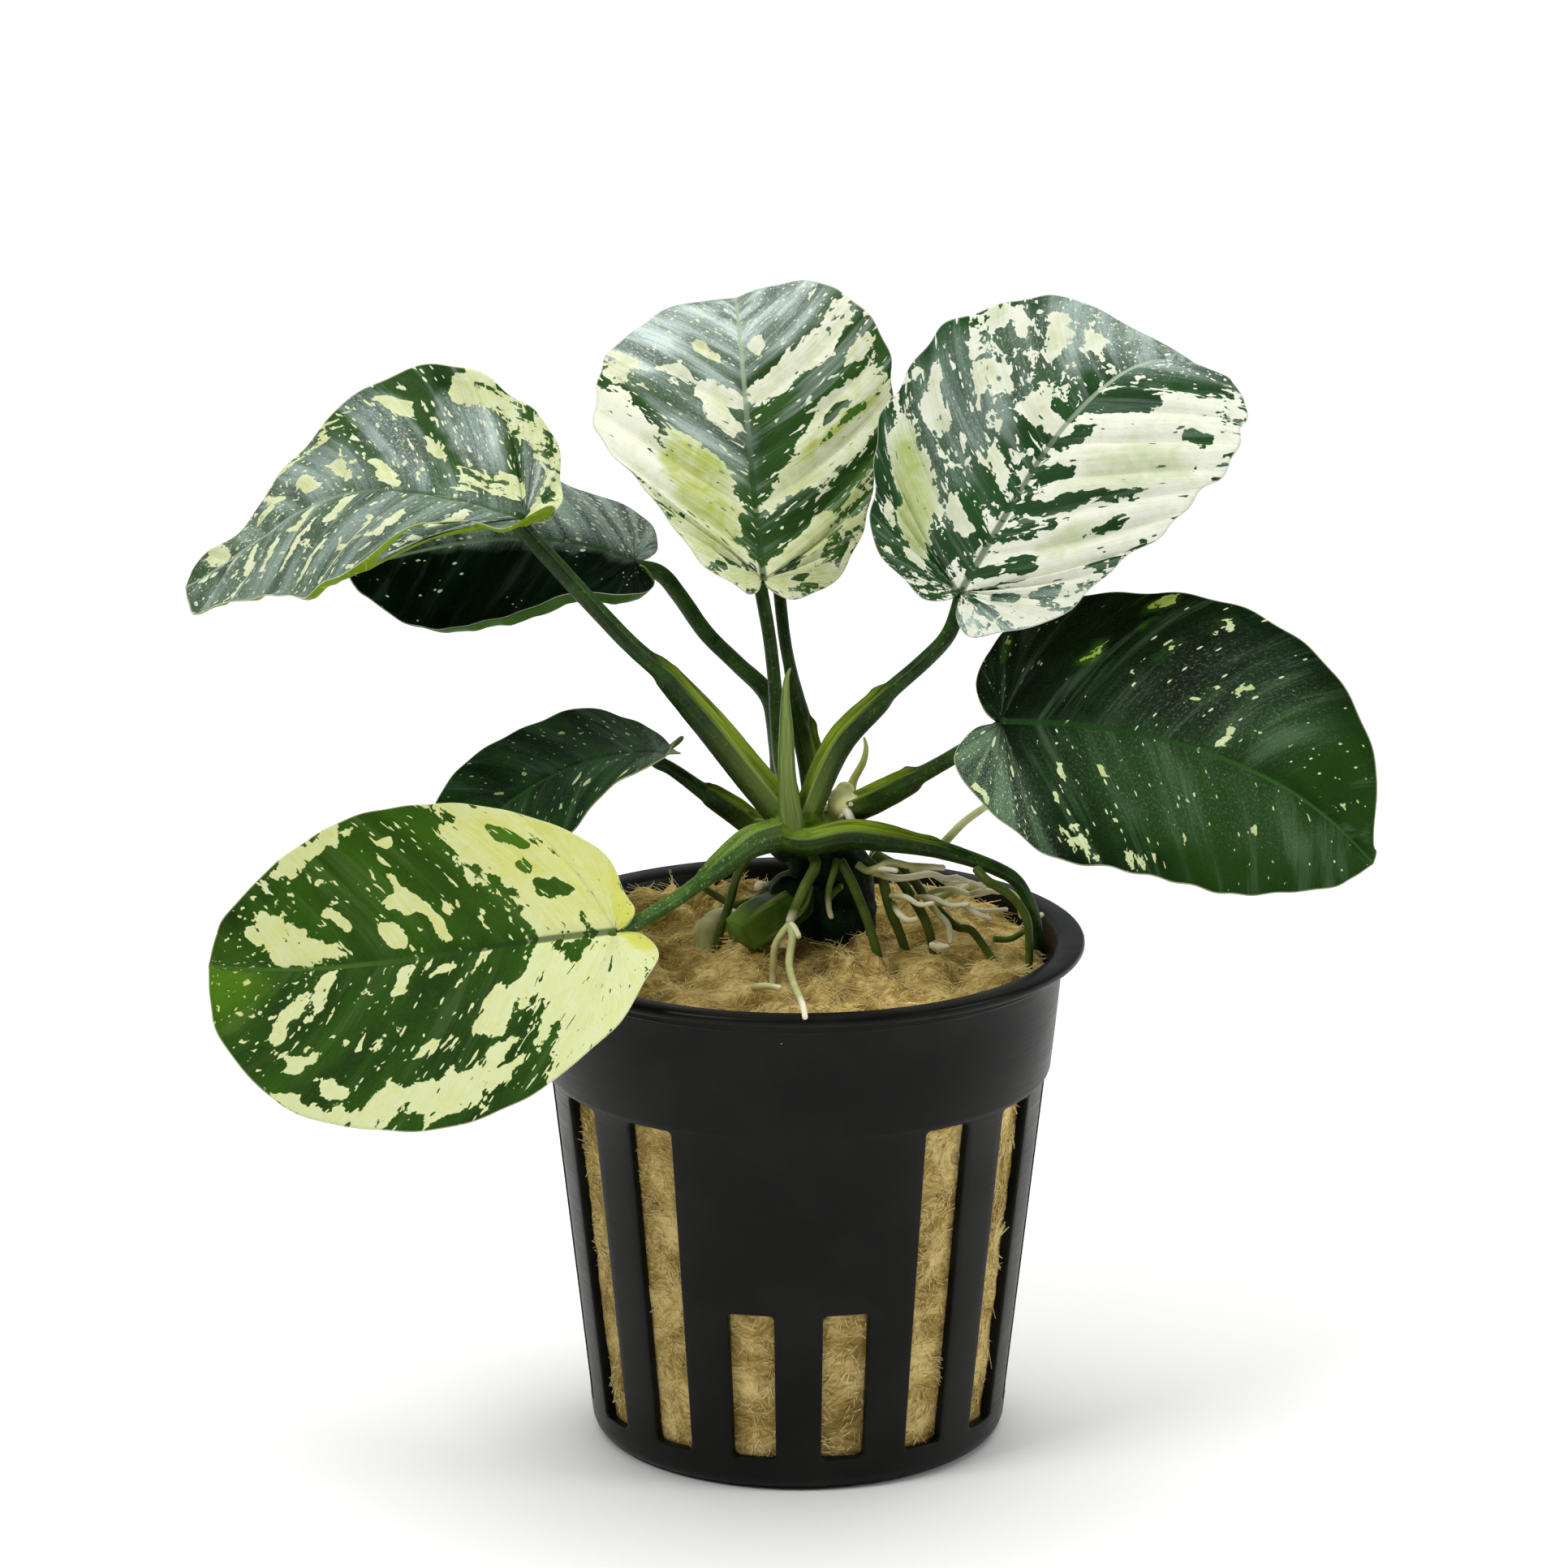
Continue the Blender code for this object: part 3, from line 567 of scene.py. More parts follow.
        # Painted glints where sheen is painted
        glint = node("MapRange", {0: glint, 1: 0.56, 2: 0.66, 4: 0.75})
        glint_cover = node("Math", {0: glint, 1: haze}, operation="MULTIPLY", use_clamp=True)
        green = node("Mix", {0: depth, 6: self.deep, 7: self.mid})
        for share, tone in ((lime, self.leaf_green), (halo, self.mid), (vein_highlight, self.haze), (sheen_cover, self.haze),
                            (glint_cover, self.glint)):
            green = node("Mix", {0: share, 6: green, 7: tone})

        # Cream: warmer where painted lime, with fine streaks along the veins
        uneven = node("Math", {0: streak, 1: blotch}, operation="ADD")
        warm = node("MapRange", {0: uneven, 1: 0.7, 2: 1.3, 3: -self.streaks, 4: self.streaks})
        warm = node("Math", {0: warm, 1: lime}, operation="ADD", use_clamp=True)
        pale = node("Mix", {0: warm, 6: self.cream, 7: self.lime})
        tissue = node("Mix", {0: fleck, 6: green, 7: self.cream})
        tint = node("Mix", {0: is_cream, 6: tissue, 7: pale})

        # The midrib is a narrow line that fades to the tip, and the margin a thin pale cord
        away = node("Math", {0: across}, operation="ABSOLUTE")
        ribbed = node("Math", {0: away, 1: rib_width}, operation="DIVIDE")
        ribbed = node("MapRange", {0: ribbed, 1: 0.55, 2: 1.0, 3: 0.8, 4: 0.0})
        outer = node("MapRange", {0: rib_width, 1: 0.36, 2: 0.24})
        rib = node("Mix", {0: outer, 6: self.rib, 7: self.rib_tip})
        tint = node("Mix", {0: ribbed, 6: tint, 7: rib})
        rim = node("MapRange", {0: inset, 1: 0.05, 2: 0.14, 3: 0.55, 4: 0.0})
        tint = node("Mix", {0: rim, 6: tint, 7: self.cream})

        # Fine side veins in relief, then the grain of the skin
        relief = node("Math", {0: ribs, 1: 4.0}, operation="MULTIPLY")
        for layer, height in ((mottle, 2.5), (skin, 1.6)):
            relief = node("Math", {0: layer, 1: height, 2: relief}, operation="MULTIPLY_ADD")
        bump = node("Bump", {"Height": relief, "Strength": 0.6, "Distance": 0.045 * MM})
        gloss = node("MapRange", {0: mottle, 1: 0.3, 2: 0.7, 3: self.roughness - 0.08,
                                 4: self.roughness + 0.10})
        if surface is Surface.UPPER:
            return close_material(material, tint, gloss, bump, specular=self.gloss)
        # The underside: its own paler green, partly painted light shining through the blade, with painted shade
        # of the pleats
        below = node("Mix", {0: is_cream, 6: self.under, 7: self.under_cream})
        shade = node("MapRange", {0: clouded, 1: 0.5, 2: 1.0, 3: 0.72, 4: 1.12})
        tint = node("VectorMath", {0: below, "Scale": shade}, operation="SCALE")
        gloss = node("Math", {0: gloss, 1: 0.12}, operation="ADD")
        return close_material(material, tint, gloss, bump, specular=0.15)


@dataclass(frozen=True)
class StemFinish:
    """Smooth fleshy stem skin: green outside, with a paler striped channel where a sheath is open."""

    name: str
    skin: str
    shade: str
    channel: str
    base: str
    tip: str
    tip_from: float = 2.0
    speckle: float = 0.25
    edge_line: float = 0.0
    edge_tint: str = "#b9ca72"
    foot: float = 0.4
    # How strongly painted shade darkens the side away from the channel
    painted_back_shade: float = 0.0
    stripe_mm: float = 0.22
    grain_mm: float = 0.32
    roughness: float = 0.36

    def material(self) -> bpy.types.Material:
        """Make stem skin that reads its place along and round the stem from the piece's attributes.

        Returns:
            The material.
        """
        material, node = start_material(f"stem_{self.name}")
        wrap, lane = (node("Attribute", out=1, attribute_name=key) for key in ("wrap", "lane"))
        along, channel, edge = node("SeparateXYZ", {0: wrap}).node.outputs
        place = node("TexCoord", out="Object")
        grain = node("TexNoise", {"Vector": place, "Scale": 1 / (self.grain_mm * MM), "Detail": 3.0,
                                  "Roughness": 0.7})
        soft = node("TexNoise", {"Vector": place, "Scale": 420.0, "Detail": 3.0})
        lines = node("Mapping", {"Vector": lane, "Scale": (1 / self.stripe_mm, 0.10, 0.0)})
        stripe = node("TexNoise", {"Vector": lines, "Scale": 1.0, "Detail": 3.0, "Roughness": 0.6})
        mixed = node("Math", {0: stripe, 1: 0.8, 2: soft}, operation="MULTIPLY_ADD")
        dark = node("MapRange", {0: mixed, 1: 0.7, 2: 1.1})
        low = node("MapRange", {0: along, 1: 0.04, 2: 0.34, 3: self.foot, 4: 0.0})
        # Painted shade on the side away from the channel, growing with the distance round the stem
        behind = node("MapRange", {0: node("SeparateXYZ", {0: lane}), 1: 1.2, 2: 3.1, 4: self.painted_back_shade})
        bright = node("MapRange", {0: stripe, 1: 0.38, 2: 0.60, 3: 0.2, 4: 1.1})
        opened = node("Math", {0: channel, 1: bright}, operation="MULTIPLY", use_clamp=True)
        line = node("Math", {0: edge, 1: self.edge_line}, operation="MULTIPLY", use_clamp=True)
        dots = node("MapRange", {0: grain, 1: 0.60, 2: 0.66, 4: self.speckle})
        moved = node("Math", {0: soft, 1: 0.25, 2: along}, operation="MULTIPLY_ADD")
        high = node("MapRange", {0: moved, 1: self.tip_from, 2: self.tip_from + 0.3})
        tint = node("Mix", {0: dark, 6: self.shade, 7: self.skin})
        for share, tone in ((low, self.base), (behind, self.shade), (opened, self.channel),
                            (line, self.edge_tint),
                            (dots, self.base), (high, self.tip)):
            tint = node("Mix", {0: share, 6: tint, 7: tone})
        relief = node("Math", {0: grain, 1: stripe}, operation="ADD")
        bump = node("Bump", {"Height": relief, "Strength": 0.35, "Distance": 0.04 * MM})
        gloss = node("MapRange", {0: soft, 1: 0.3, 2: 0.7, 3: self.roughness - 0.06, 4: self.roughness + 0.08})
        return close_material(material, tint, gloss, bump, ior=1.42, specular=0.22)


@dataclass
class NetPot:
    """The tapered net pot with evenly spaced slots, a proud band, a collar and a rolled rim."""

    height: float = 49.6
    wall: float = 0.95
    floor: float = 1.2
    base_radius: float = 19.95
    taper: float = 0.112
    band_bottom: tuple[float, float] = (24.42, 37.1)
    band_top: tuple[float, float] = (25.48, 47.6)
    collar: tuple[float, float] = (26.0, 48.6)
    rim_radius: float = 27.6
    rim_inner: float = 24.8
    slot_count: int = 15
    slot_angle: float = 11.8
    slot_bottom: float = 3.4
    slot_top: float = 36.4
    short_slot_top: float = 18.4
    slot_steps: int = 4
    bar_steps: int = 5
    edge_rounding: float = 0.2
    slot_corner: float = 0.55
    finish: PotPlastic = field(default_factory=PotPlastic)

    def body_radius(self, z: float) -> float:
        """Outer radius of the slotted body at a height."""
        return self.base_radius + self.taper * z

    def slot_end(self, slot: int) -> float:
        """The height at which a slot ends; the two in front are short."""
        return self.short_slot_top if slot % self.slot_count in (0, self.slot_count - 1) else self.slot_top

    def profile(self) -> list[tuple[float, float]]:
        """Draw the closed half section, up the outside and down the inside.

        Returns:
            Its corners as (radius, height).
        """
        wall = self.wall
        bead = (self.rim_radius + self.collar[0]) / 2 + 0.35
        bead_half = (self.height - self.collar[1]) / 2
        roll = [(self.rim_radius - bead_half * 0.8 * (1 - math.cos(a)), self.height - bead_half
                 + bead_half * math.sin(a)) for a in np.radians((-80, -50, -20, 20, 50, 80))]
        body = [self.slot_bottom, 10.9, self.short_slot_top, 24.4, 30.4, self.slot_top]
        outside = [(0.0, 0.35), (16.6, 0.35), (17.3, 0.0), (18.45, 0.0), (19.0, 0.12), (19.5, 0.4), (19.9, 0.9),
                   (20.12, 1.5), *((self.body_radius(z), z) for z in body),
                   (self.band_bottom[0] - 0.12, 36.75), self.band_bottom, (24.85, 41.0), (25.2, 44.6),
                   self.band_top,
                   (self.collar[0] - 0.1, 47.62), (self.collar[0], 47.75), self.collar,
                   (bead - 0.5, self.collar[1] - 0.02), *roll]
        inside = [(self.rim_inner + 0.9, self.height), (self.rim_inner + 0.3, self.height - 0.16),
                  (self.rim_inner, self.height - 0.5), (self.band_top[0] - wall, 47.0),
                  (self.band_bottom[0] - wall, self.band_bottom[1]),
                  *((self.body_radius(z) - wall, z) for z in reversed(body)),
                  (19.0, 2.0), (17.9, self.floor), (0.0, self.floor)]
        return outside + inside

    def columns(self) -> list[tuple[float, int | None]]:
        """List each column's direction in degrees from the front, and its slot number or None."""
        period = 360.0 / self.slot_count
        found = []
        for slot in range(self.slot_count):
            start = (slot + 0.5) * period - self.slot_angle / 2
            found += [(start + self.slot_angle * k / self.slot_steps, slot) for k in range(self.slot_steps)]
            found += [(start + self.slot_angle + (period - self.slot_angle) * k / self.bar_steps, None)
                      for k in range(self.bar_steps)]
        return found

    def build(self) -> None:
        """Turn the section, leave the slots open, line them and round every edge."""
        profile = self.profile()
        columns = self.columns()
        heights = [round(z, 4) for _, z in profile]
        levels = (self.slot_bottom, self.short_slot_top, self.slot_top)
        outer = {z: heights.index(z) for z in levels}
        inner = {z: len(heights) - 1 - heights[::-1].index(z) for z in levels}
        low, low_in = outer[self.slot_bottom], inner[self.slot_bottom]
        bm = bmesh.new()
        round_off = bm.edges.layers.float.new("bevel_weight_edge")
        under = bm.verts.new((0.0, 0.0, profile[0][1] * MM))
        floor = bm.verts.new((0.0, 0.0, profile[-1][1] * MM))
        rings = []
        for angle, _ in columns:
            ring = [bm.verts.new([value * MM for value in (*on_circle(r, math.radians(angle)), z)])
                    for r, z in profile[1:-1]]
            rings.append([under, *ring, floor])
        for index, (_, slot) in enumerate(columns):
            after = (index + 1) % len(columns)
            here, there = rings[index], rings[after]
            high, top_in = (rows[self.slot_end(slot or 0)] for rows in (outer, inner))
            for row in range(len(profile) - 1):
                if slot is None or not (low <= row < high or top_in <= row < low_in):
                    corners = (here[row], there[row], there[row + 1], here[row + 1])
                    bm.faces.new(list(dict.fromkeys(corners)))
            if slot is None:
                continue
            bm.faces.new((there[low_in], there[low], here[low], here[low_in]))
            bm.faces.new((here[top_in], here[high], there[high], there[top_in]))
            for side, ring, flip in ((index - 1, here, False), (after, there, True)):
                if columns[side][1] is not None:
                    continue
                for step in range(high - low):
                    quad = (ring[low + step], ring[low + step + 1],
                            ring[low_in - step - 1], ring[low_in - step])
                    bm.faces.new(quad[::-1] if flip else quad)
                for corner in ((ring[low], ring[low_in]), (ring[high], ring[top_in])):
                    bm.edges.get(corner)[round_off] = 1.0
        bmesh.ops.recalc_face_normals(bm, faces=bm.faces)
        mesh = bpy.data.meshes.new("pot_shell")
        bm.to_mesh(mesh)
        bm.free()
        mesh.materials.append(self.finish.material())
        mesh.shade_smooth()
        piece = place_object("pot_shell", mesh)
        add_modifier(piece, "slot corners", "BEVEL", width=self.slot_corner * MM,
                     segments=4, limit_method="WEIGHT")
        add_modifier(piece, "rounded edges", "BEVEL", width=self.edge_rounding * MM, segments=3,
                     limit_method="ANGLE", angle_limit=math.radians(50))
        piece = plain_mesh(piece)
        piece.data.set_sharp_from_angle(angle=math.radians(35))
        hand_over(piece, "pot_black", "net_pot")


@dataclass
class MineralWool:
    """The wool plug: a clumpy block that shows above the rim and through the slots, with loose fibres."""

    pot: NetPot
    top: float = 48.0
    edge_radius: float = 24.3
    clump_height: float = 4.6
    clump_size: float = 8.0
    crease_depth: float = 0.22
    mounds: tuple[Point, ...] = ((3.4, -1.6, 2.4), (-4.0, 11.0, 3.2), (-13.0, 13.0, 1.3), (11.0, 12.0, 1.4))
    mound_spread: float = 36.0
    columns: int = 300
    swirl_size: float = 6.0
    fibre_clearance: float = 0.03
    finish: WoolFinish = field(default_factory=WoolFinish)

    def rest_height(self, x: float, y: float) -> float:
        """The mean height of the top, the same rule as in the frame."""
        lumps = math.sin(0.42 * x + 0.6) * math.cos(0.37 * y - 0.4) + 0.5 * math.sin(0.71 * x - 0.53 * y)
        return self.top + 0.35 * lumps - 0.02 * y

    def roll(self, x: float, y: float) -> float:
        """Say how high the rounded rolls of the top stand, 0 in the creases between them."""
        place = Vector((x, y, 7.3)) / self.clump_size
        warp = noise.noise_vector(place * 0.8) * 0.6
        return abs(noise.noise(place + warp)) + 0.45 * abs(noise.noise((place + warp) * 2.3))

    def top_height(self, x: float, y: float) -> float:
        """Height of the top: its rolls, and the mounds that are pressed up round the trunk and behind it."""
        place = Vector((x, y, 7.3)) / self.clump_size
        fine = noise.noise(place * 7.0) * 0.16 + noise.noise(place * 15.0) * 0.08
        heap = sum(high * math.exp(-((x - px) ** 2 + (y - py) ** 2) / self.mound_spread)
                   for px, py, high in self.mounds)
        return self.rest_height(x, y) + self.clump_height * (self.roll(x, y) - 0.40) + fine + heap

    def crease(self, points: list[Point]) -> dict[str, list[float]]:
        """The attribute that paints shade into the creases of the top, 0 on the side."""
        return {"crease": [max(0.0, 1 - self.roll(x, y) / self.crease_depth)
                           if z > self.top - 2 and x * x + y * y < 540 else 0.0 for x, y, z in points]}

    def side_radius(self, turn: float, z: float) -> float:
        """Read the radius of the block's side, which bulges a little into each slot.

        Args:
            turn: the angle from the front in radians.
            z: the height.

        Returns:
            The radius with its lumps.
        """
        off = abs((turn / (2 * math.pi / self.pot.slot_count)) % 1.0 - 0.5) * 2
        bulge = 0.30 * (1 - off ** 2) if z < self.pot.slot_top else 0.0
        rough = noise.noise(Vector((math.cos(turn) * 9, math.sin(turn) * 9, z * 0.35))) * 0.28
        fine = noise.noise(Vector((math.cos(turn) * 40, math.sin(turn) * 40, z * 1.4))) * 0.10
        return self.pot.body_radius(min(z, 37.0)) - self.pot.wall - 0.28 + bulge + rough + fine

    def block(self) -> None:
        """Build the block itself, as rings from its base up its side and over its top."""
        turns = [2 * math.pi * k / self.columns for k in range(self.columns)]
        heights = np.linspace(3.0, self.top - 1.2, 84)
        radii = np.concatenate([np.linspace(self.edge_radius, 21.0, 8), np.linspace(20.4, 0.9, 34)])
        points = [(*on_circle(self.side_radius(turn, z), turn), z) for z in heights for turn in turns]
        for r in radii:
            drop = 1.6 * max(0.0, (r - 22.6) / 1.7) ** 2
            for x, y in (on_circle(r, turn) for turn in turns):
                points.append((x, y, self.top_height(x, y) - drop))
        points += [(0.0, 0.0, heights[0]), (0.0, 0.0, self.top_height(0.0, 0.0))]
        # The block takes the shaded copy of the wool: painted shade of the mass under the loose fibres
        piece = mesh_object("wool_block", points, tube_faces(len(heights) + len(radii), self.columns),
                            (self.finish.material("mineral_wool", 0.1),), self.crease(points))
        hand_over(piece, "wool_tan", "rockwool_plug")

    def fibre_tree(self) -> bpy.types.NodeTree:
        """Make geometry nodes that lay bent three-sided fibres over a surface and join them.

        Returns:
            The node tree.
        """
        tree, node, given = start_growth("wool_fibres", "Surface", {
            "Density": "Float", "Length": "Float", "Radius": "Float", "Swirl size": "Float", "Seed": "Int"})
        scatter = node("GeometryNodeDistributePointsOnFaces", {
            "Mesh": given["Surface"], "Density": given["Density"], "Seed": given["Seed"]}).node.outputs
        path = node("GeometryNodeCurveQuadraticBezier", {
            "Resolution": 5, "Start": (-0.5, 0.0, 0.0), "Middle": (0.0, 0.34, 0.10), "End": (0.5, -0.06, 0.06)})
        long = node("ShaderNodeCombineXYZ", {axis: given["Length"] for axis in range(3)})
        sized = node("GeometryNodeTransform", {"Geometry": path, "Scale": long})
        ring = node("GeometryNodeCurvePrimitiveCircle", {"Resolution": 3, "Radius": given["Radius"]})
        fibre = node("GeometryNodeCurveToMesh", {"Curve": sized, "Profile Curve": ring, "Fill Caps": True})
        scale = node("ShaderNodeMath", {0: 1.0, 1: given["Swirl size"]}, operation="DIVIDE")
        swirl = node("ShaderNodeTexNoise", {"Vector": node("GeometryNodeInputPosition"),
                                           "Scale": scale, "Detail": 2.0})
        turn = node("ShaderNodeMath", {0: swirl, 1: 16.0}, operation="MULTIPLY")
        stray, stretch = (
            node("FunctionNodeRandomValue", {"Min": least, "Max": most, "Seed": given["Seed"]},
                 data_type="FLOAT_VECTOR")
            for least, most in (((-0.16, -0.14, -0.5), (0.16, 0.06, 0.5)), ((0.5, 0.3, 0.6), (1.5, 1.5, 1.6))))
        angles = node("ShaderNodeVectorMath", {0: node("ShaderNodeCombineXYZ", {2: turn}), 1: stray},
                      operation="ADD")
        turned = node("FunctionNodeRotateRotation", {0: scatter["Rotation"], 1: angles}, rotation_space="LOCAL")
        laid = node("GeometryNodeInstanceOnPoints", {
            "Points": scatter["Points"], "Instance": fibre, "Rotation": turned, "Scale": stretch})
        close_growth(node, laid, given["Finish"])
        return tree

    def strands(self, name: str, place: Callable[..., Point], patches: list[tuple[np.ndarray, np.ndarray]],
                sizes: Point, seed: int, tree: bpy.types.NodeTree, material: bpy.types.Material) -> None:
        """Lay fibres over some patches of a surface and keep them as one plain mesh.

        Args:
            name: the piece's name.
            place: the rule that turns two values to a point of the surface.
            patches: the two rows of values that each patch spans.
            sizes: fibres for each square millimetre, and a fibre's length and radius in mm.
            seed: the seed of their places.
            tree: the geometry nodes that lay them.
            material: the fibres' material.
        """
        points: list[Point] = []
        faces: list[tuple[int, ...]] = []
        for first, second in patches:
            wide = len(second)
            for row in range(len(points), len(points) + (len(first) - 1) * wide, wide):
                faces += [(row + c, row + c + 1, row + wide + c + 1, row + wide + c) for c in range(wide - 1)]
            points += [place(a, b) for a in first for b in second]
        density, length, radius = sizes
        share = 1.0
        surface = mesh_object(name, points, faces, (), self.crease(points))
        hand_over(grow(surface, tree, {
            "Density": share * density / MM ** 2, "Length": length * MM, "Radius": radius * MM,
            "Swirl size": self.swirl_size * MM, "Seed": seed, "Finish": material}), "wool_tan")

    def fibres(self) -> None:
        """Lay loose fibres over the top, and over the wool that each slot shows."""
        tree = self.fibre_tree()
        # The loose fibres take the lit copy of the same wool: painted light on the fibres that lie on top
        material = self.finish.material("wool_strands", 0.7)

        def on_top(r: float, turn: float) -> Point:
            """A point on the top, just above its clumps."""
            x, y = on_circle(r, turn)
            return x, y, self.top_height(x, y) + self.fibre_clearance

        def on_side(z: float, turn: float) -> Point:
            """A point just outside the block's side."""
            return *on_circle(self.side_radius(turn, z) + self.fibre_clearance, turn), z

        top = [(np.linspace(0.8, 23.4, 44), np.linspace(0.0, 2 * math.pi, 121))]
        self.strands("wool_fibres_top", on_top, top, (2.3, 3.8, 0.032), 11, tree, material)
        period = 2 * math.pi / self.pot.slot_count
        half = math.radians(self.pot.slot_angle) / 2
        for seed, name, slots in ((21, "wool_fibres_front", range(-4, 4)),
                                  (22, "wool_fibres_back", range(4, 11))):
            patches = []
            for slot in slots:
                middle = (slot + 0.5) * period
                patches.append((np.linspace(self.pot.slot_bottom + 0.4, self.pot.slot_end(slot) - 0.2, 60),
                                np.linspace(middle + 0.8 * half, middle - 0.8 * half, 9)))
            self.strands(name, on_side, patches, (3.6, 3.4, 0.055), seed, tree, material)


@dataclass(frozen=True)
class Half:
    """One half of a blade, flat sizes in mm and cross-section angles in degrees."""

    lobe: float
    lobe_width: float
    widths: tuple[float, ...]
    fold: float = 0.0
    curl: float = 0.0
    lip: float = 0.0
    lip_from: float = 0.7
    cup: float = 0.0


@dataclass
class LeafBlade:
    """A blade grown along its midrib, with its relief, thickness, painted marbling and painted sheen."""

    name: str
    slot: str
    junction: Point
    heading: float
    pitch: float
    roll: float
    twist: float
    length: float
    bends: Point
    sway: float
    left: Half
    right: Half
    finish: BladeFinish
    base_paint: Point
    quilt: float = 0.16
    quilt_folds: int = 11
    ripple: float = 0.25
    ripple_waves: float = 4.0
    first_vein: float = 0.015
    frill: float = 0.012
    fan_share: float = 0.40
    lobe_reach: float = 0.45
    veins: int = 181
    vein_steps: int = 46

    def margin(self, half: Half, shares: np.ndarray) -> np.ndarray:
        """Draw the flat margin of a half from the junction round its lobe to the tip.

        Args:
            half: the half.
            shares: where to read its margin.

        Returns:
            A row of (along, across) for each share.
        """
        points = [(0.0, 0.0), *((-reach * half.lobe, width * half.lobe_width)
                                for reach, width in ((0.62, 0.13), (1.0, 0.5), (0.62, 0.92))),
                  (0.02 * self.length, (half.lobe_width + half.widths[0]) / 2),
                  *((share * self.length, width)
                    for share, width in zip((0.2, 0.4, 0.6, 0.8, 0.95), half.widths)),
                  (0.985 * self.length, 0.5 * half.widths[-1]), (self.length, 0.0)]
        edge = smooth_curve(points, shares)
        phase = 2 * math.pi * shares
        frill = np.sin(5.3 * phase + half.widths[0]) + 0.7 * np.sin(11.7 * phase + half.widths[1])
        edge[:, 1] *= 1 + self.frill * frill * smooth_step(shares, 0.05, 0.2) * fade(shares, 0.93, 1.0)
        return edge

    def midrib(self) -> tuple[np.ndarray, np.ndarray, np.ndarray, np.ndarray]:
        """Run the midrib through space.

        Returns:
            Stations along it, with their places, side directions and normal directions.
        """
        along = np.linspace(-self.lobe_reach * self.length, self.length, 60)
        x = along / self.length
        bent = np.cumsum(self.bends)
        turned = np.interp(x, [-self.lobe_reach, 0, 1 / 3, 2 / 3, 1], [-0.3 * bent[0], 0, *bent])
        pitch = np.radians(self.pitch + turned)
        heading = np.radians(self.heading + self.sway * x)
        roll = np.radians(self.roll + self.twist * x)[:, None]
        flat = np.cos(pitch)
        forward = np.stack([flat * np.cos(heading), flat * np.sin(heading), np.sin(pitch)], axis=1)
        level = np.stack([-np.sin(heading), np.cos(heading), np.zeros_like(heading)], axis=1)
        upright = np.cross(forward, level)
        side = level * np.cos(roll) + upright * np.sin(roll)
        normal = upright * np.cos(roll) - level * np.sin(roll)
        step = along[1] - along[0]
        place = np.vstack([np.zeros(3), np.cumsum((forward[1:] + forward[:-1]) / 2 * step, axis=0)])
        return along, place - read_rows(0.0, along, place) + np.array(self.junction), side, normal

    def paint(self, share: np.ndarray, t: np.ndarray, flat: np.ndarray) -> np.ndarray:
        """Paint each area of the marbling and of the painted sheen over those before it, with a wandering
        outline.

        Args:
            share: margin share of each point.
            t: its place from the midrib (0) to the margin (1 or -1).
            flat: its flat place in mm, which the wander is read at.

        Returns:
            Cream bias, painted sheen and lime of each point.
        """
        spots = np.concatenate([flat[..., :2], np.full((*share.shape, 1), float(len(self.name)))], axis=-1)
        wander = np.array([[*(noise.noise_vector(Vector(p) / 3.2) + 0.6 * noise.noise_vector(Vector(p) / 1.3))]
                           for p in spots.reshape(-1, 3)]).reshape(*share.shape, 3)
        share = share + 0.014 * wander[..., 0]
        t = t + 0.09 * wander[..., 1]
        cream, haze, lime = (np.full(share.shape, value) for value in self.base_paint)
        for kind, amount, *ranges in MARBLING[self.name]:
            strokes = {Shade.HAZE: ((haze, amount),), Shade.LIME: ((lime, amount),)}.get(
                kind, ((cream, kind.value), (lime, amount)))
            for low, high, t_low, t_high in ranges:
                away = (np.abs((share - (low + high) / 2) / ((high - low) / 2)) ** 3
                        + np.abs((t - (t_low + t_high) / 2) / ((t_high - t_low) / 2)) ** 3) ** (1 / 3)
                cover = np.clip(1.9 - 1.4 * away, 0.0, 1.0)
                for layer, value in strokes:
                    layer += (value - layer) * cover
        return np.stack([cream, haze, lime], axis=-1)

    def relief(self, share: np.ndarray, t: np.ndarray, v: np.ndarray, sign: int) -> np.ndarray:
        """Raise the folds between side veins and the ripple of the margin, and sink the midrib.

        Args:
            share: margin share of each point.
            t: its place from the midrib (0) to the margin (1).
            v: its distance from the midrib in mm.
            sign: 1 on the left half, -1 on the right.

        Returns:
            Height of the upper side above its smooth form, in mm.
        """
        folds = np.abs(np.sin(math.pi * self.quilt_folds * share + (0.4 if sign > 0 else 0.0)))
        belly = np.sin(math.pi * np.clip(t, 0, 1)) ** 0.7 * smooth_step(share, 0.12, 0.4)
        wave = np.sin(2 * math.pi * self.ripple_waves * share + 1.7 * sign + len(self.name))
        edge = self.ripple * t ** 3 * wave * (0.6 + 0.4 * np.sin(23.0 * share + sign))
        raised = (self.quilt * (folds ** 0.8 - 0.55) * belly + edge) * fade(share, 0.90, 1.0)
        return raised + -0.22 * hill(v, 0.55) * fade(share, 0.97, 1.0)

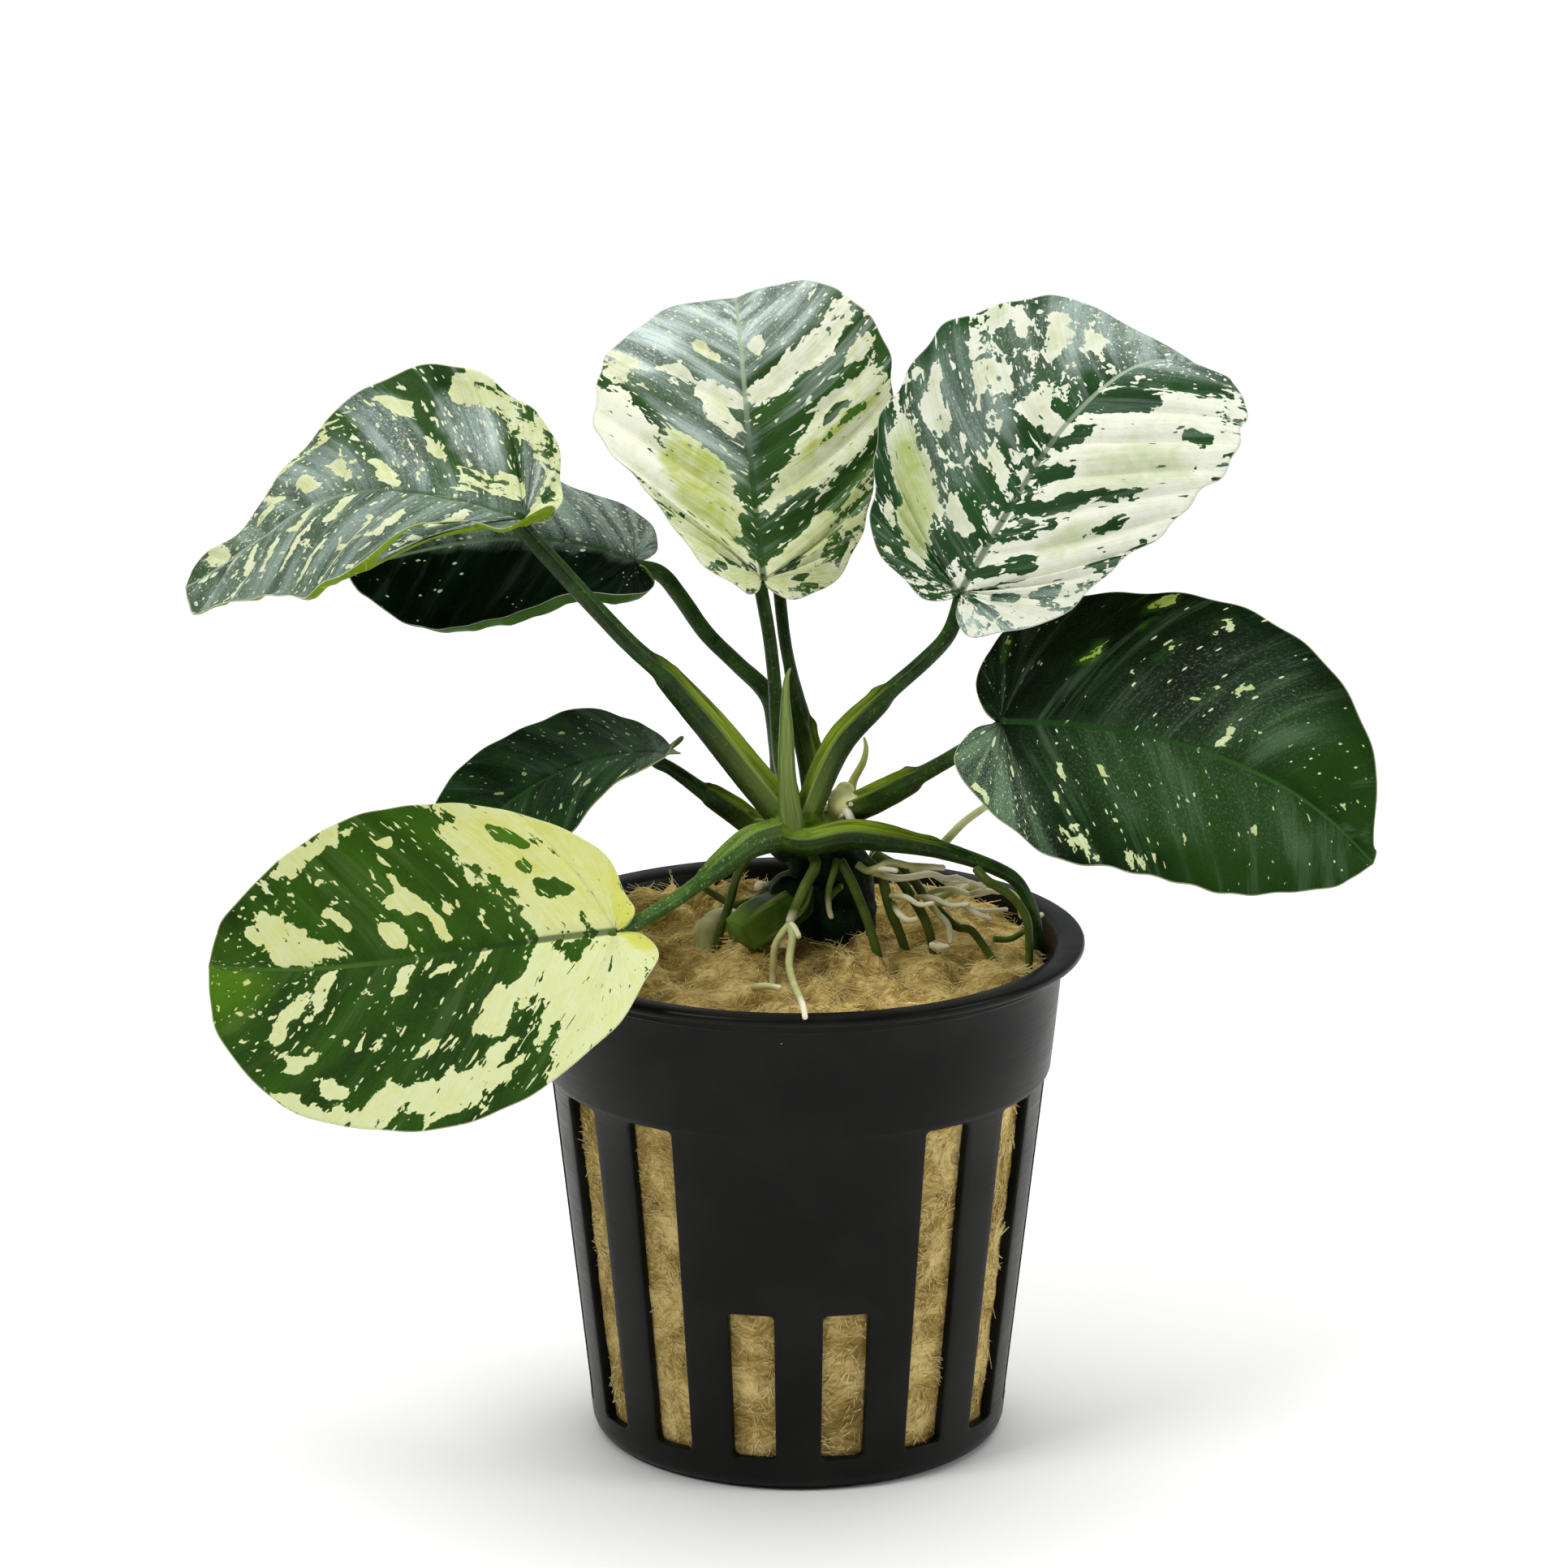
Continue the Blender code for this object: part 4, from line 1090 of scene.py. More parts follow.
    def half_grid(self, half: Half, sign: int) -> dict[str, np.ndarray]:
        """Lay out one half, a row of points for each vein.

        Args:
            half: its sizes.
            sign: 1 on the left, -1 on the right.

        Returns:
            Upper and under points and the attributes, by name.
        """
        shares = np.linspace(self.first_vein, 1.0, self.veins)
        edge = self.margin(half, shares)
        origin = self.length * np.clip((shares - self.fan_share) / (1 - self.fan_share), 0, 1) ** 1.08
        t = np.linspace(0.0, 1.0, self.vein_steps)[None, :]
        bow_u = (origin + 0.38 * (edge[:, 0] - origin))[:, None]
        bow_v = (0.55 * edge[:, 1])[:, None]
        u = (1 - t) ** 2 * origin[:, None] + 2 * t * (1 - t) * bow_u + t ** 2 * edge[:, :1]
        v = 2 * t * (1 - t) * bow_v + t ** 2 * edge[:, 1:]
        cup = half.cup * fade(shares, 0.06, 0.17)[:, None] * smooth_step(t, 0.05, 0.6)
        slope = np.radians(half.fold + half.curl * v / max((half.lobe_width,) + half.widths)
                           + half.lip * smooth_step(t, half.lip_from, 1.0) + cup)
        middle = (slope[:, 1:] + slope[:, :-1]) / 2
        across, lift = (np.concatenate([np.zeros((self.veins, 1)),
                                       np.cumsum(part * np.diff(v, axis=1), axis=1)],
                                       axis=1) for part in (np.cos(middle), np.sin(middle)))
        along, *directions = self.midrib()
        place, side, normal = (read_rows(u, along, rows) for rows in directions)
        smooth = place + sign * across[..., None] * side + lift[..., None] * normal
        facing = np.cos(slope)[..., None] * normal - np.sin(slope)[..., None] * sign * side
        share = np.broadcast_to(shares[:, None], v.shape)
        t = np.broadcast_to(t, v.shape)
        upper = smooth + self.relief(share, t, v, sign)[..., None] * facing
        taper = np.clip(1 - u / self.length, 0, 1) ** 0.7 * smooth_step(u, -1.5, 0.5)
        side_ribs = 0.05 * np.cos(2 * math.pi * 26 * share) * np.sin(math.pi * t)
        thick = 0.15 + 0.20 * (1 - t ** 2) + 0.42 * hill(v, 0.6) * taper + side_ribs
        vein_length = np.hypot(edge[:, :1] - origin[:, None], edge[:, 1:])
        rib_width = np.where(u > -0.2, 0.13 + 0.34 * np.clip(1 - u / self.length, 0, 1), 0.01)
        flat = np.stack([u, sign * v, rib_width], axis=-1)
        return {
            "upper": upper,
            "under": upper - thick[..., None] * facing,
            "vein": np.stack([share, sign * t, (1 - t) * vein_length], axis=-1),
            "flat": flat,
            "paint": self.paint(share, sign * t, flat),
        }

    def build(self) -> bpy.types.Object:
        """Join the halves and the two faces of the blade in one closed mesh.

        Returns:
            The piece.
        """
        halves = {sign: self.half_grid(half, sign) for sign, half in ((1, self.left), (-1, self.right))}
        shares = np.linspace(self.first_vein, 1.0, self.veins)
        points: list[np.ndarray] = []
        extras: dict[str, list[np.ndarray]] = {"vein": [], "flat": [], "paint": []}
        grids: dict[tuple[str, int], np.ndarray] = {}
        faces: list[list[int]] = []
        slots: list[int] = []

        def put(data: dict[str, np.ndarray], face: str, part: Any) -> np.ndarray:
            """Add a part of a face's points with their attributes.

            Args:
                data: the half's points and attributes.
                face: upper or under.
                part: which rows and columns.

            Returns:
                The numbers of the added points.
            """
            start = len(points)
            points.extend(data[face][part].reshape(-1, 3))
            for key, rows in extras.items():
                rows.extend(data[key][part].reshape(-1, 3))
            return np.arange(start, len(points))

        def add(corners: tuple[np.ndarray, ...], flip: bool, slot: int) -> None:
            """Add faces whose corners may partly fall together.

            Args:
                corners: point numbers of the four corners.
                flip: whether they turn the other way.
                slot: their material slot.
            """
            for quad in np.stack(corners, axis=-1).reshape(-1, 4).tolist():
                own = list(dict.fromkeys(quad))
                if len(own) > 2:
                    faces.append(own[::-1] if flip else own)
                    slots.append(slot)

        for face in ("upper", "under"):
            rib = put(halves[1], face, np.s_[:, 0])
            rib[shares <= self.fan_share] = rib[0]
            for sign, data in halves.items():
                grid = np.empty((self.veins, self.vein_steps), dtype=int)
                grid[:-1, 1:] = put(data, face, np.s_[:-1, 1:]).reshape(self.veins - 1, -1)
                grid[:, 0] = rib
                grid[-1, :] = rib[-1]
                grids[face, sign] = grid
        for (face, sign), grid in grids.items():
            add((grid[:-1, :-1], grid[1:, :-1], grid[1:, 1:], grid[:-1, 1:]), (sign > 0) == (face == "under"),
                0 if face == "upper" else 1)
        for sign in halves:
            top, low = grids["upper", sign], grids["under", sign]
            add((top[:-1, -1], top[1:, -1], low[1:, -1], low[:-1, -1]), sign < 0, 0)
            add((top[0, :-1], top[0, 1:], low[0, 1:], low[0, :-1]), sign < 0, 0)
        used = np.unique(np.concatenate(faces))
        renumber = np.full(len(points), -1)
        renumber[used] = np.arange(len(used))
        piece = mesh_object(f"blade_{self.name}", np.array(points)[used],
                            [renumber[face].tolist() for face in faces],
                            (self.finish.material(Surface.UPPER), self.finish.material(Surface.UNDER)),
                            {key: np.array(rows)[used] for key, rows in extras.items()}, slots)
        bm = bmesh.new()
        bm.from_mesh(piece.data)
        bmesh.ops.recalc_face_normals(bm, faces=bm.faces)
        bm.to_mesh(piece.data)
        bm.free()
        return piece


@dataclass
class Stem:
    """A stem swept along a smooth route, with a section that subclasses shape."""

    name: str
    route: tuple[Point, ...]
    radii: tuple[float, ...]
    finish: StemFinish
    slot: str = "stalk_green"
    opening: Point = (0.0, -1.0, 0.2)
    rings: int = 110
    columns: int = 40
    round_tip: bool = False
    roughen: float = 0.02
    crowding: float = 0.0

    def balls(self) -> list[Ball]:
        """The route's points with the radius at each."""
        return [(*place, radius) for place, radius in zip(self.route, self.radii)]

    def section(self, turn: np.ndarray, along: np.ndarray) -> Section:
        """Shape the cross-section.

        Args:
            turn: angles from the opening, in radians.
            along: shares of the length.

        Returns:
            Radius factor, channel share and pale edge.
        """
        none = np.zeros(np.broadcast(turn, along).shape)
        return 1.0 + 0.012 * np.sin(9 * turn + 4 * along), none, none

    def grid(self) -> tuple[np.ndarray, dict[str, np.ndarray]]:
        """Sweep the section along the route.

        Returns:
            The skin's points, ring by ring, and the attributes wrap (share along, channel, pale edge) and
            lane (mm round the stem, mm along it).
        """
        shares = np.linspace(0.0, 1.0, self.rings)
        rows = smooth_curve(self.balls(), shares)
        centre, radius = rows[:, :3], rows[:, 3:]
        for _ in range(3):
            centre[1:-1] = (centre[:-2] + 2 * centre[1:-1] + centre[2:]) / 4
        tangent = np.gradient(centre, axis=0)
        tangent /= np.linalg.norm(tangent, axis=1, keepdims=True)
        towards = np.array(self.opening, dtype=float) - tangent * (tangent @ np.array(self.opening))[:, None]
        towards /= np.linalg.norm(towards, axis=1, keepdims=True)
        across = np.cross(tangent, towards)
        length = running_length(centre)
        if self.round_tip:
            left = np.clip((length[-1] - length) / radius[:, 0], 0, 1)
            radius = radius * np.sqrt(np.clip(1 - (1 - left) ** 2, 0.0004, 1))[:, None]
        even = np.linspace(-1.0, 1.0, self.columns, endpoint=False)[None, :]
        turn = math.pi * ((1 - self.crowding) * even + self.crowding * even ** 3)
        factor, channel, edge = self.section(turn, shares[:, None])
        start = Vector((len(self.name), 0, 0))
        rough = np.array([[noise.noise(Vector((math.cos(a) * 1.3, math.sin(a) * 1.3, d * 0.9)) + start)
                           for a in turn[0]] for d in length])
        reach = radius * (factor + self.roughen * rough)
        points = (centre[:, None] + (reach * np.cos(turn))[..., None] * towards[:, None]
                  + (reach * np.sin(turn))[..., None] * across[:, None])
        shape = channel.shape
        wrap = np.stack([np.broadcast_to(shares[:, None], shape), channel, edge], axis=-1)
        lane = np.stack([np.abs(turn) * radius, np.broadcast_to(length[:, None], shape),
                         np.zeros(shape)], axis=-1)
        return points, {"wrap": wrap, "lane": lane}

    def build(self) -> bpy.types.Object:
        """Close the skin at both ends and make the piece.

        Returns:
            The piece.
        """
        points, extras = self.grid()
        flat = np.vstack([points.reshape(-1, 3), points[0].mean(axis=0), points[-1].mean(axis=0)])
        extras = {key: np.vstack([rows.reshape(-1, 3), rows[0, 0], rows[-1, 0]])
                  for key, rows in extras.items()}
        return mesh_object(f"{self.name}_skin", flat, tube_faces(*points.shape[:2]),
                           (self.finish.material(),), extras)


@dataclass
class SheathedStalk(Stem):
    """A leaf stalk whose lower part is a sheath: two wings beside a channel, ending in an ear."""

    ear: float = 0.6
    wing: float = 0.20
    groove: float = 0.26
    body: float = 0.94
    channel_half: float = 0.48
    columns: int = 64
    crowding: float = 0.5

    def section(self, turn: np.ndarray, along: np.ndarray) -> Section:
        """Shape a round back with a channel between two thin wings, as far as the ears; see Stem.section."""
        off = np.abs(turn)
        rim = self.channel_half + 0.10
        gone = along - self.ear - 0.012 * np.tanh(3 * turn)
        sheath = fade(gone, -0.06, 0.02) * smooth_step(along, 0.0, 0.05)
        ear = 1 + 0.6 * hill(gone + 0.035, 0.022)
        wings = self.wing * ear * hill(off - rim, 0.16) * fade(gone, -0.02, 0.012)
        floor = self.groove * fade(off, 0.2, self.channel_half) * sheath
        bare = 0.07 * hill(off, 0.5) * (1 - sheath)
        ridges = 0.02 * np.cos(14 * off) * sheath + 0.01 * np.cos(9 * off)
        factor = self.body + (1 - self.body) * (1 - sheath) + wings - floor - bare + ridges
        pale = fade(gone, -0.30, -0.01)
        channel = sheath * (0.45 + 0.55 * pale) * fade(off, self.channel_half - 0.1, rim)
        return factor, channel, sheath * pale * hill(off - rim, 0.07)


@dataclass
class RolledLeaf(Stem):
    """A young leaf still rolled up: a long cone with one margin lapping round it."""

    lap: float = 0.16
    lap_turn: float = 0.9

    def section(self, turn: np.ndarray, along: np.ndarray) -> Section:
        """Shape a round section with a step where the outer margin ends, paler towards the opening as painted
        light; see Stem.section.
        """
        off = (turn - self.lap_turn - 0.5 * along) % (2 * math.pi)
        step = self.lap * fade(off, 0.0, 0.35) * np.exp(-off * 0.6)
        factor = 1.0 + step + 0.015 * np.cos(11 * turn)
        shape = np.ones_like(factor)
        # The channel share paints the side towards the opening paler: painted light
        return factor, (0.55 + 0.45 * np.cos(turn - 0.3)) * shape, 0 * shape


@dataclass
class CutStub(Stem):
    """An old piece of rhizome, trimmed with a knife to flat faces that have healed over."""

    sides: int = 5
    start_turn: float = 0.35

    def section(self, turn: np.ndarray, along: np.ndarray) -> Section:
        """Shape a many-sided section, with the pale ridges as its channel share; see Stem.section."""
        wedge = 2 * math.pi / self.sides
        within = (turn + self.start_turn + 0.5 * along) % wedge - wedge / 2
        factor = 1.08 * math.cos(wedge / 2) / np.cos(within)
        ridge = smooth_step(np.abs(within), wedge / 2 - 0.16, wedge / 2)
        return factor * np.ones_like(along), ridge * np.ones_like(along), np.zeros_like(factor)


@dataclass(frozen=True)
class RhizomeFinish:
    """Rhizome skin: corky, ringed by leaf scars, dark green and matt-glossy when wet, darker below with age and
    painted shade.
    """

    old_and_shaded: tuple[str, str] = ("#08160e", "#1b3620")
    fresh: tuple[str, str] = ("#46661a", "#83a030")
    pale: str = "#f2f3a8"
    speck: str = "#5c7a4a"
    pale_node: Point = (4.9, -0.8, 63.2)

    def material(self) -> bpy.types.Material:
        """Make rhizome skin: dark below, partly older skin and partly painted shade, fresh green above, and
        pale round the youngest node.

        Returns:
            The material.
        """
        material, node = start_material("rhizome_skin")
        place = node("TexCoord", out="Object")
        soft = node("TexNoise", {"Vector": place, "Scale": 420.0, "Detail": 4.0})
        grain = node("TexNoise", {"Vector": place, "Scale": 2600.0, "Detail": 3.0})
        # Darker below the crown: partly older skin, partly painted shade under the leaves
        up = node("MapRange", {0: node("SeparateXYZ", {0: place}, 2), 1: 59.0 * MM, 2: 61.2 * MM})
        cloud = node("MapRange", {0: soft, 1: 0.4, 2: 0.7})
        low, fresh = (node("Mix", {0: cloud, 6: dark, 7: light}) for dark, light in (self.old_and_shaded, self.fresh))
        tint = node("Mix", {0: up, 6: low, 7: fresh})
        middle = tuple(value * MM for value in self.pale_node)
        apart = node("VectorMath", {0: place, 1: middle}, 1, operation="DISTANCE")
        near = node("MapRange", {0: apart, 1: 3.3 * MM, 2: 1.9 * MM})
        dots = node("MapRange", {0: grain, 1: 0.68, 2: 0.72, 4: 0.35})
        for share, tone in ((near, self.pale), (dots, self.speck)):
            tint = node("Mix", {0: share, 6: tint, 7: tone})
        bump = node("Bump", {"Height": grain, "Strength": 0.4, "Distance": 0.05 * MM})
        return close_material(material, tint, 0.5, bump, specular=0.08)


@dataclass
class Rhizome:
    """The ringed trunk and the crown that the stalks grow from, as one skin."""

    bases: list[Ball]
    trunk: tuple[Ball, ...] = ((3.5, 1.0, 48.6, 4.1), (3.4, 1.0, 52.0, 4.2), (3.2, 1.0, 55.5, 4.0),
                               (1.9, 0.5, 58.2, 3.4), (0.8, 0.0, 59.8, 2.6))
    lumps: tuple[Ball, ...] = (
        (0.4, -1.4, 59.4, 2.4), (-1.2, -1.9, 59.3, 1.9), (2.2, -1.8, 59.5, 2.0), (1.2, 1.4, 60.2, 2.4),
        (-1.6, 0.6, 60.0, 1.9), (3.4, 0.6, 60.0, 2.0), (-1.2, -3.0, 54.6, 1.7), (4.2, 0.8, 61.6, 1.5),
        (4.2, -0.5, 62.9, 1.5), (5.6, -0.9, 62.7, 1.25), (4.4, 0.2, 64.0, 0.9))
    voxel: float = 0.2
    ring_pitch: float = 1.9
    ring_height: float = 0.08
    finish: RhizomeFinish = field(default_factory=RhizomeFinish)

    def build(self) -> None:
        """Join the trunk and the crown's lumps in one smooth skin and raise the leaf scars."""
        bm = bmesh.new()
        bmesh.ops.create_icosphere(bm, subdivisions=3, radius=1.0)
        ball = np.array([vert.co[:] for vert in bm.verts])
        sides = np.array([[vert.index for vert in face.verts] for face in bm.faces])
        bm.free()
        rows = smooth_curve(self.trunk, np.linspace(0, 1, 22)).tolist()
        trunk = [(x, y, z + r * 0.2 if z < 50 else z, r * 0.97) for x, y, z, r in rows]
        balls = [*self.lumps, *self.bases, *trunk]
        points = np.vstack([np.array(row[:3]) + row[3] * ball for row in balls])
        faces = np.vstack([sides + k * len(ball) for k in range(len(balls))])
        piece = mesh_object("rhizome_trunk", points, faces.tolist())
        add_modifier(piece, "one skin", "REMESH", mode="VOXEL", voxel_size=self.voxel * MM)
        add_modifier(piece, "relax", "SMOOTH", factor=0.6, iterations=10)
        piece = plain_mesh(piece)
        data = piece.data
        data.materials.append(self.finish.material())
        spots, facing = (np.empty(len(data.vertices) * 3, dtype=np.float32) for _ in range(2))
        data.vertices.foreach_get("co", spots)
        data.vertex_normals.foreach_get("vector", facing)
        spots, facing = spots.reshape(-1, 3) / MM, facing.reshape(-1, 3)
        tilt = spots[:, 2] + 0.25 * spots[:, 0]
        ring = np.abs(np.sin(math.pi * tilt / self.ring_pitch)) ** 6 * fade(spots[:, 2], 58.5, 60.5)
        rough = np.array([noise.noise(Vector(p * 0.8)) * 0.16 + noise.noise(Vector(p * 3.0)) * 0.05
                          for p in spots])
        spots = spots + facing * (self.ring_height * ring + rough)[:, None]
        data.vertices.foreach_set("co", (spots * MM).astype(np.float32).ravel())
        data.shade_smooth()
        data.update()
        hand_over(piece, "rhizome_dark", "rhizome")


@dataclass
class Roots:
    """The roots and their branches, each main root one piece with its rootlets."""

    wool: MineralWool
    skins: dict[str, StemFinish]
    roundness: int = 14
    wobble: float = 0.10
    sunk: float = 0.5

    def tree(self) -> bpy.types.NodeTree:
        """Make geometry nodes that turn routes into round roots with a slightly uneven skin.

        Returns:
            The node tree.
        """
        tree, node, given = start_growth("root_skin", "Routes", {"Roundness": "Int", "Wobble": "Float"})
        lines = node("GeometryNodeMeshToCurve", {0: given["Routes"]})
        thick = node("GeometryNodeInputNamedAttribute", {"Name": "thick"}, data_type="FLOAT")
        ring = node("GeometryNodeCurvePrimitiveCircle", {"Resolution": given["Roundness"], "Radius": 1.0})
        tube = node("GeometryNodeCurveToMesh", {"Curve": lines, "Profile Curve": ring, "Scale": thick,
                                                "Fill Caps": True})
        lumps = node("ShaderNodeTexNoise", {"Vector": node("GeometryNodeInputPosition"),
                                           "Scale": 700.0, "Detail": 2.0})
        middle = node("ShaderNodeMath", {0: lumps, 1: 0.5}, operation="SUBTRACT")
        amount = node("ShaderNodeMath", {0: middle, 1: given["Wobble"]}, operation="MULTIPLY")
        offset = node("ShaderNodeVectorMath", {0: node("GeometryNodeInputNormal"), "Scale": amount},
                      operation="SCALE")
        close_growth(node, node("GeometryNodeSetPosition", {"Geometry": tube, "Offset": offset}),
                     given["Finish"])
        return tree

    def piece(self, name: str, paths: tuple[tuple[Any, ...], ...], tree: bpy.types.NodeTree,
              material: bpy.types.Material) -> bpy.types.Object:
        """Grow one root with its rootlets.

        Args:
            name: the piece's name.
            paths: the root and its rootlets, as rows of ROOTS.
            tree: the geometry nodes that make the skin.
            material: its skin's material.

        Returns:
            The piece.
        """
        shares = np.concatenate([np.linspace(0, 0.94, 44), 1 - 0.06 * (1 - np.linspace(0, 1, 10)[1:]) ** 1.5])
        edges: list[tuple[int, int]] = []
        points, thick, wraps = [], [], []
        for start_radius, tip, pale_from, *route in paths:
            route = [place if len(place) == 3 else (*place, self.wool.top_height(*place) - self.sunk)
                     for place in route]
            rows = smooth_curve(route, shares)
            gone = running_length(rows)
            radius = start_radius + (tip - start_radius) * (gone / gone[-1]) ** 1.5
            left = np.clip((gone[-1] - gone) / tip, 0, 1)
            radius = radius * np.sqrt(np.clip(1 - (1 - left) ** 2, 0.002, 1))
            along = np.clip(gone / gone[-1] + 0.8 - pale_from, 0, 1.2)
            edges += [(k, k + 1) for k in range(len(points), len(points) + len(rows) - 1)]
            points.extend(rows)
            thick.extend(radius * MM)
            wraps.extend(np.stack([along, 0 * along, 0 * along], axis=1))
        routes = mesh_object(name, points, [], (), {"thick": thick, "wrap": wraps}, edges=edges)
        piece = grow(routes, tree, {"Roundness": self.roundness, "Wobble": self.wobble * MM,
                                   "Finish": material})
        piece.data.shade_smooth()
        return piece

    def build(self) -> None:
        """Grow every root, olive ones in one skin and pale ones in another."""
        tree = self.tree()
        skins = {slot: finish.material() for slot, finish in self.skins.items()}
        for name, node, slot, *paths in ROOTS:
            hand_over(self.piece(name, paths, tree, skins[slot]), slot, *([node] if node else []))


class Shade(Enum):
    """What a painted area does to the blade: a number is the cream bias that it sets, and the two others paint
    the sheen or the lime tint.
    """

    CREAM = 1.3
    MIXED = 0.0
    FLECKED = -0.3
    GREEN = -1.3
    # Painted sheen: a reflection painted into the blade's colour
    HAZE = "haze"
    LIME = "lime"


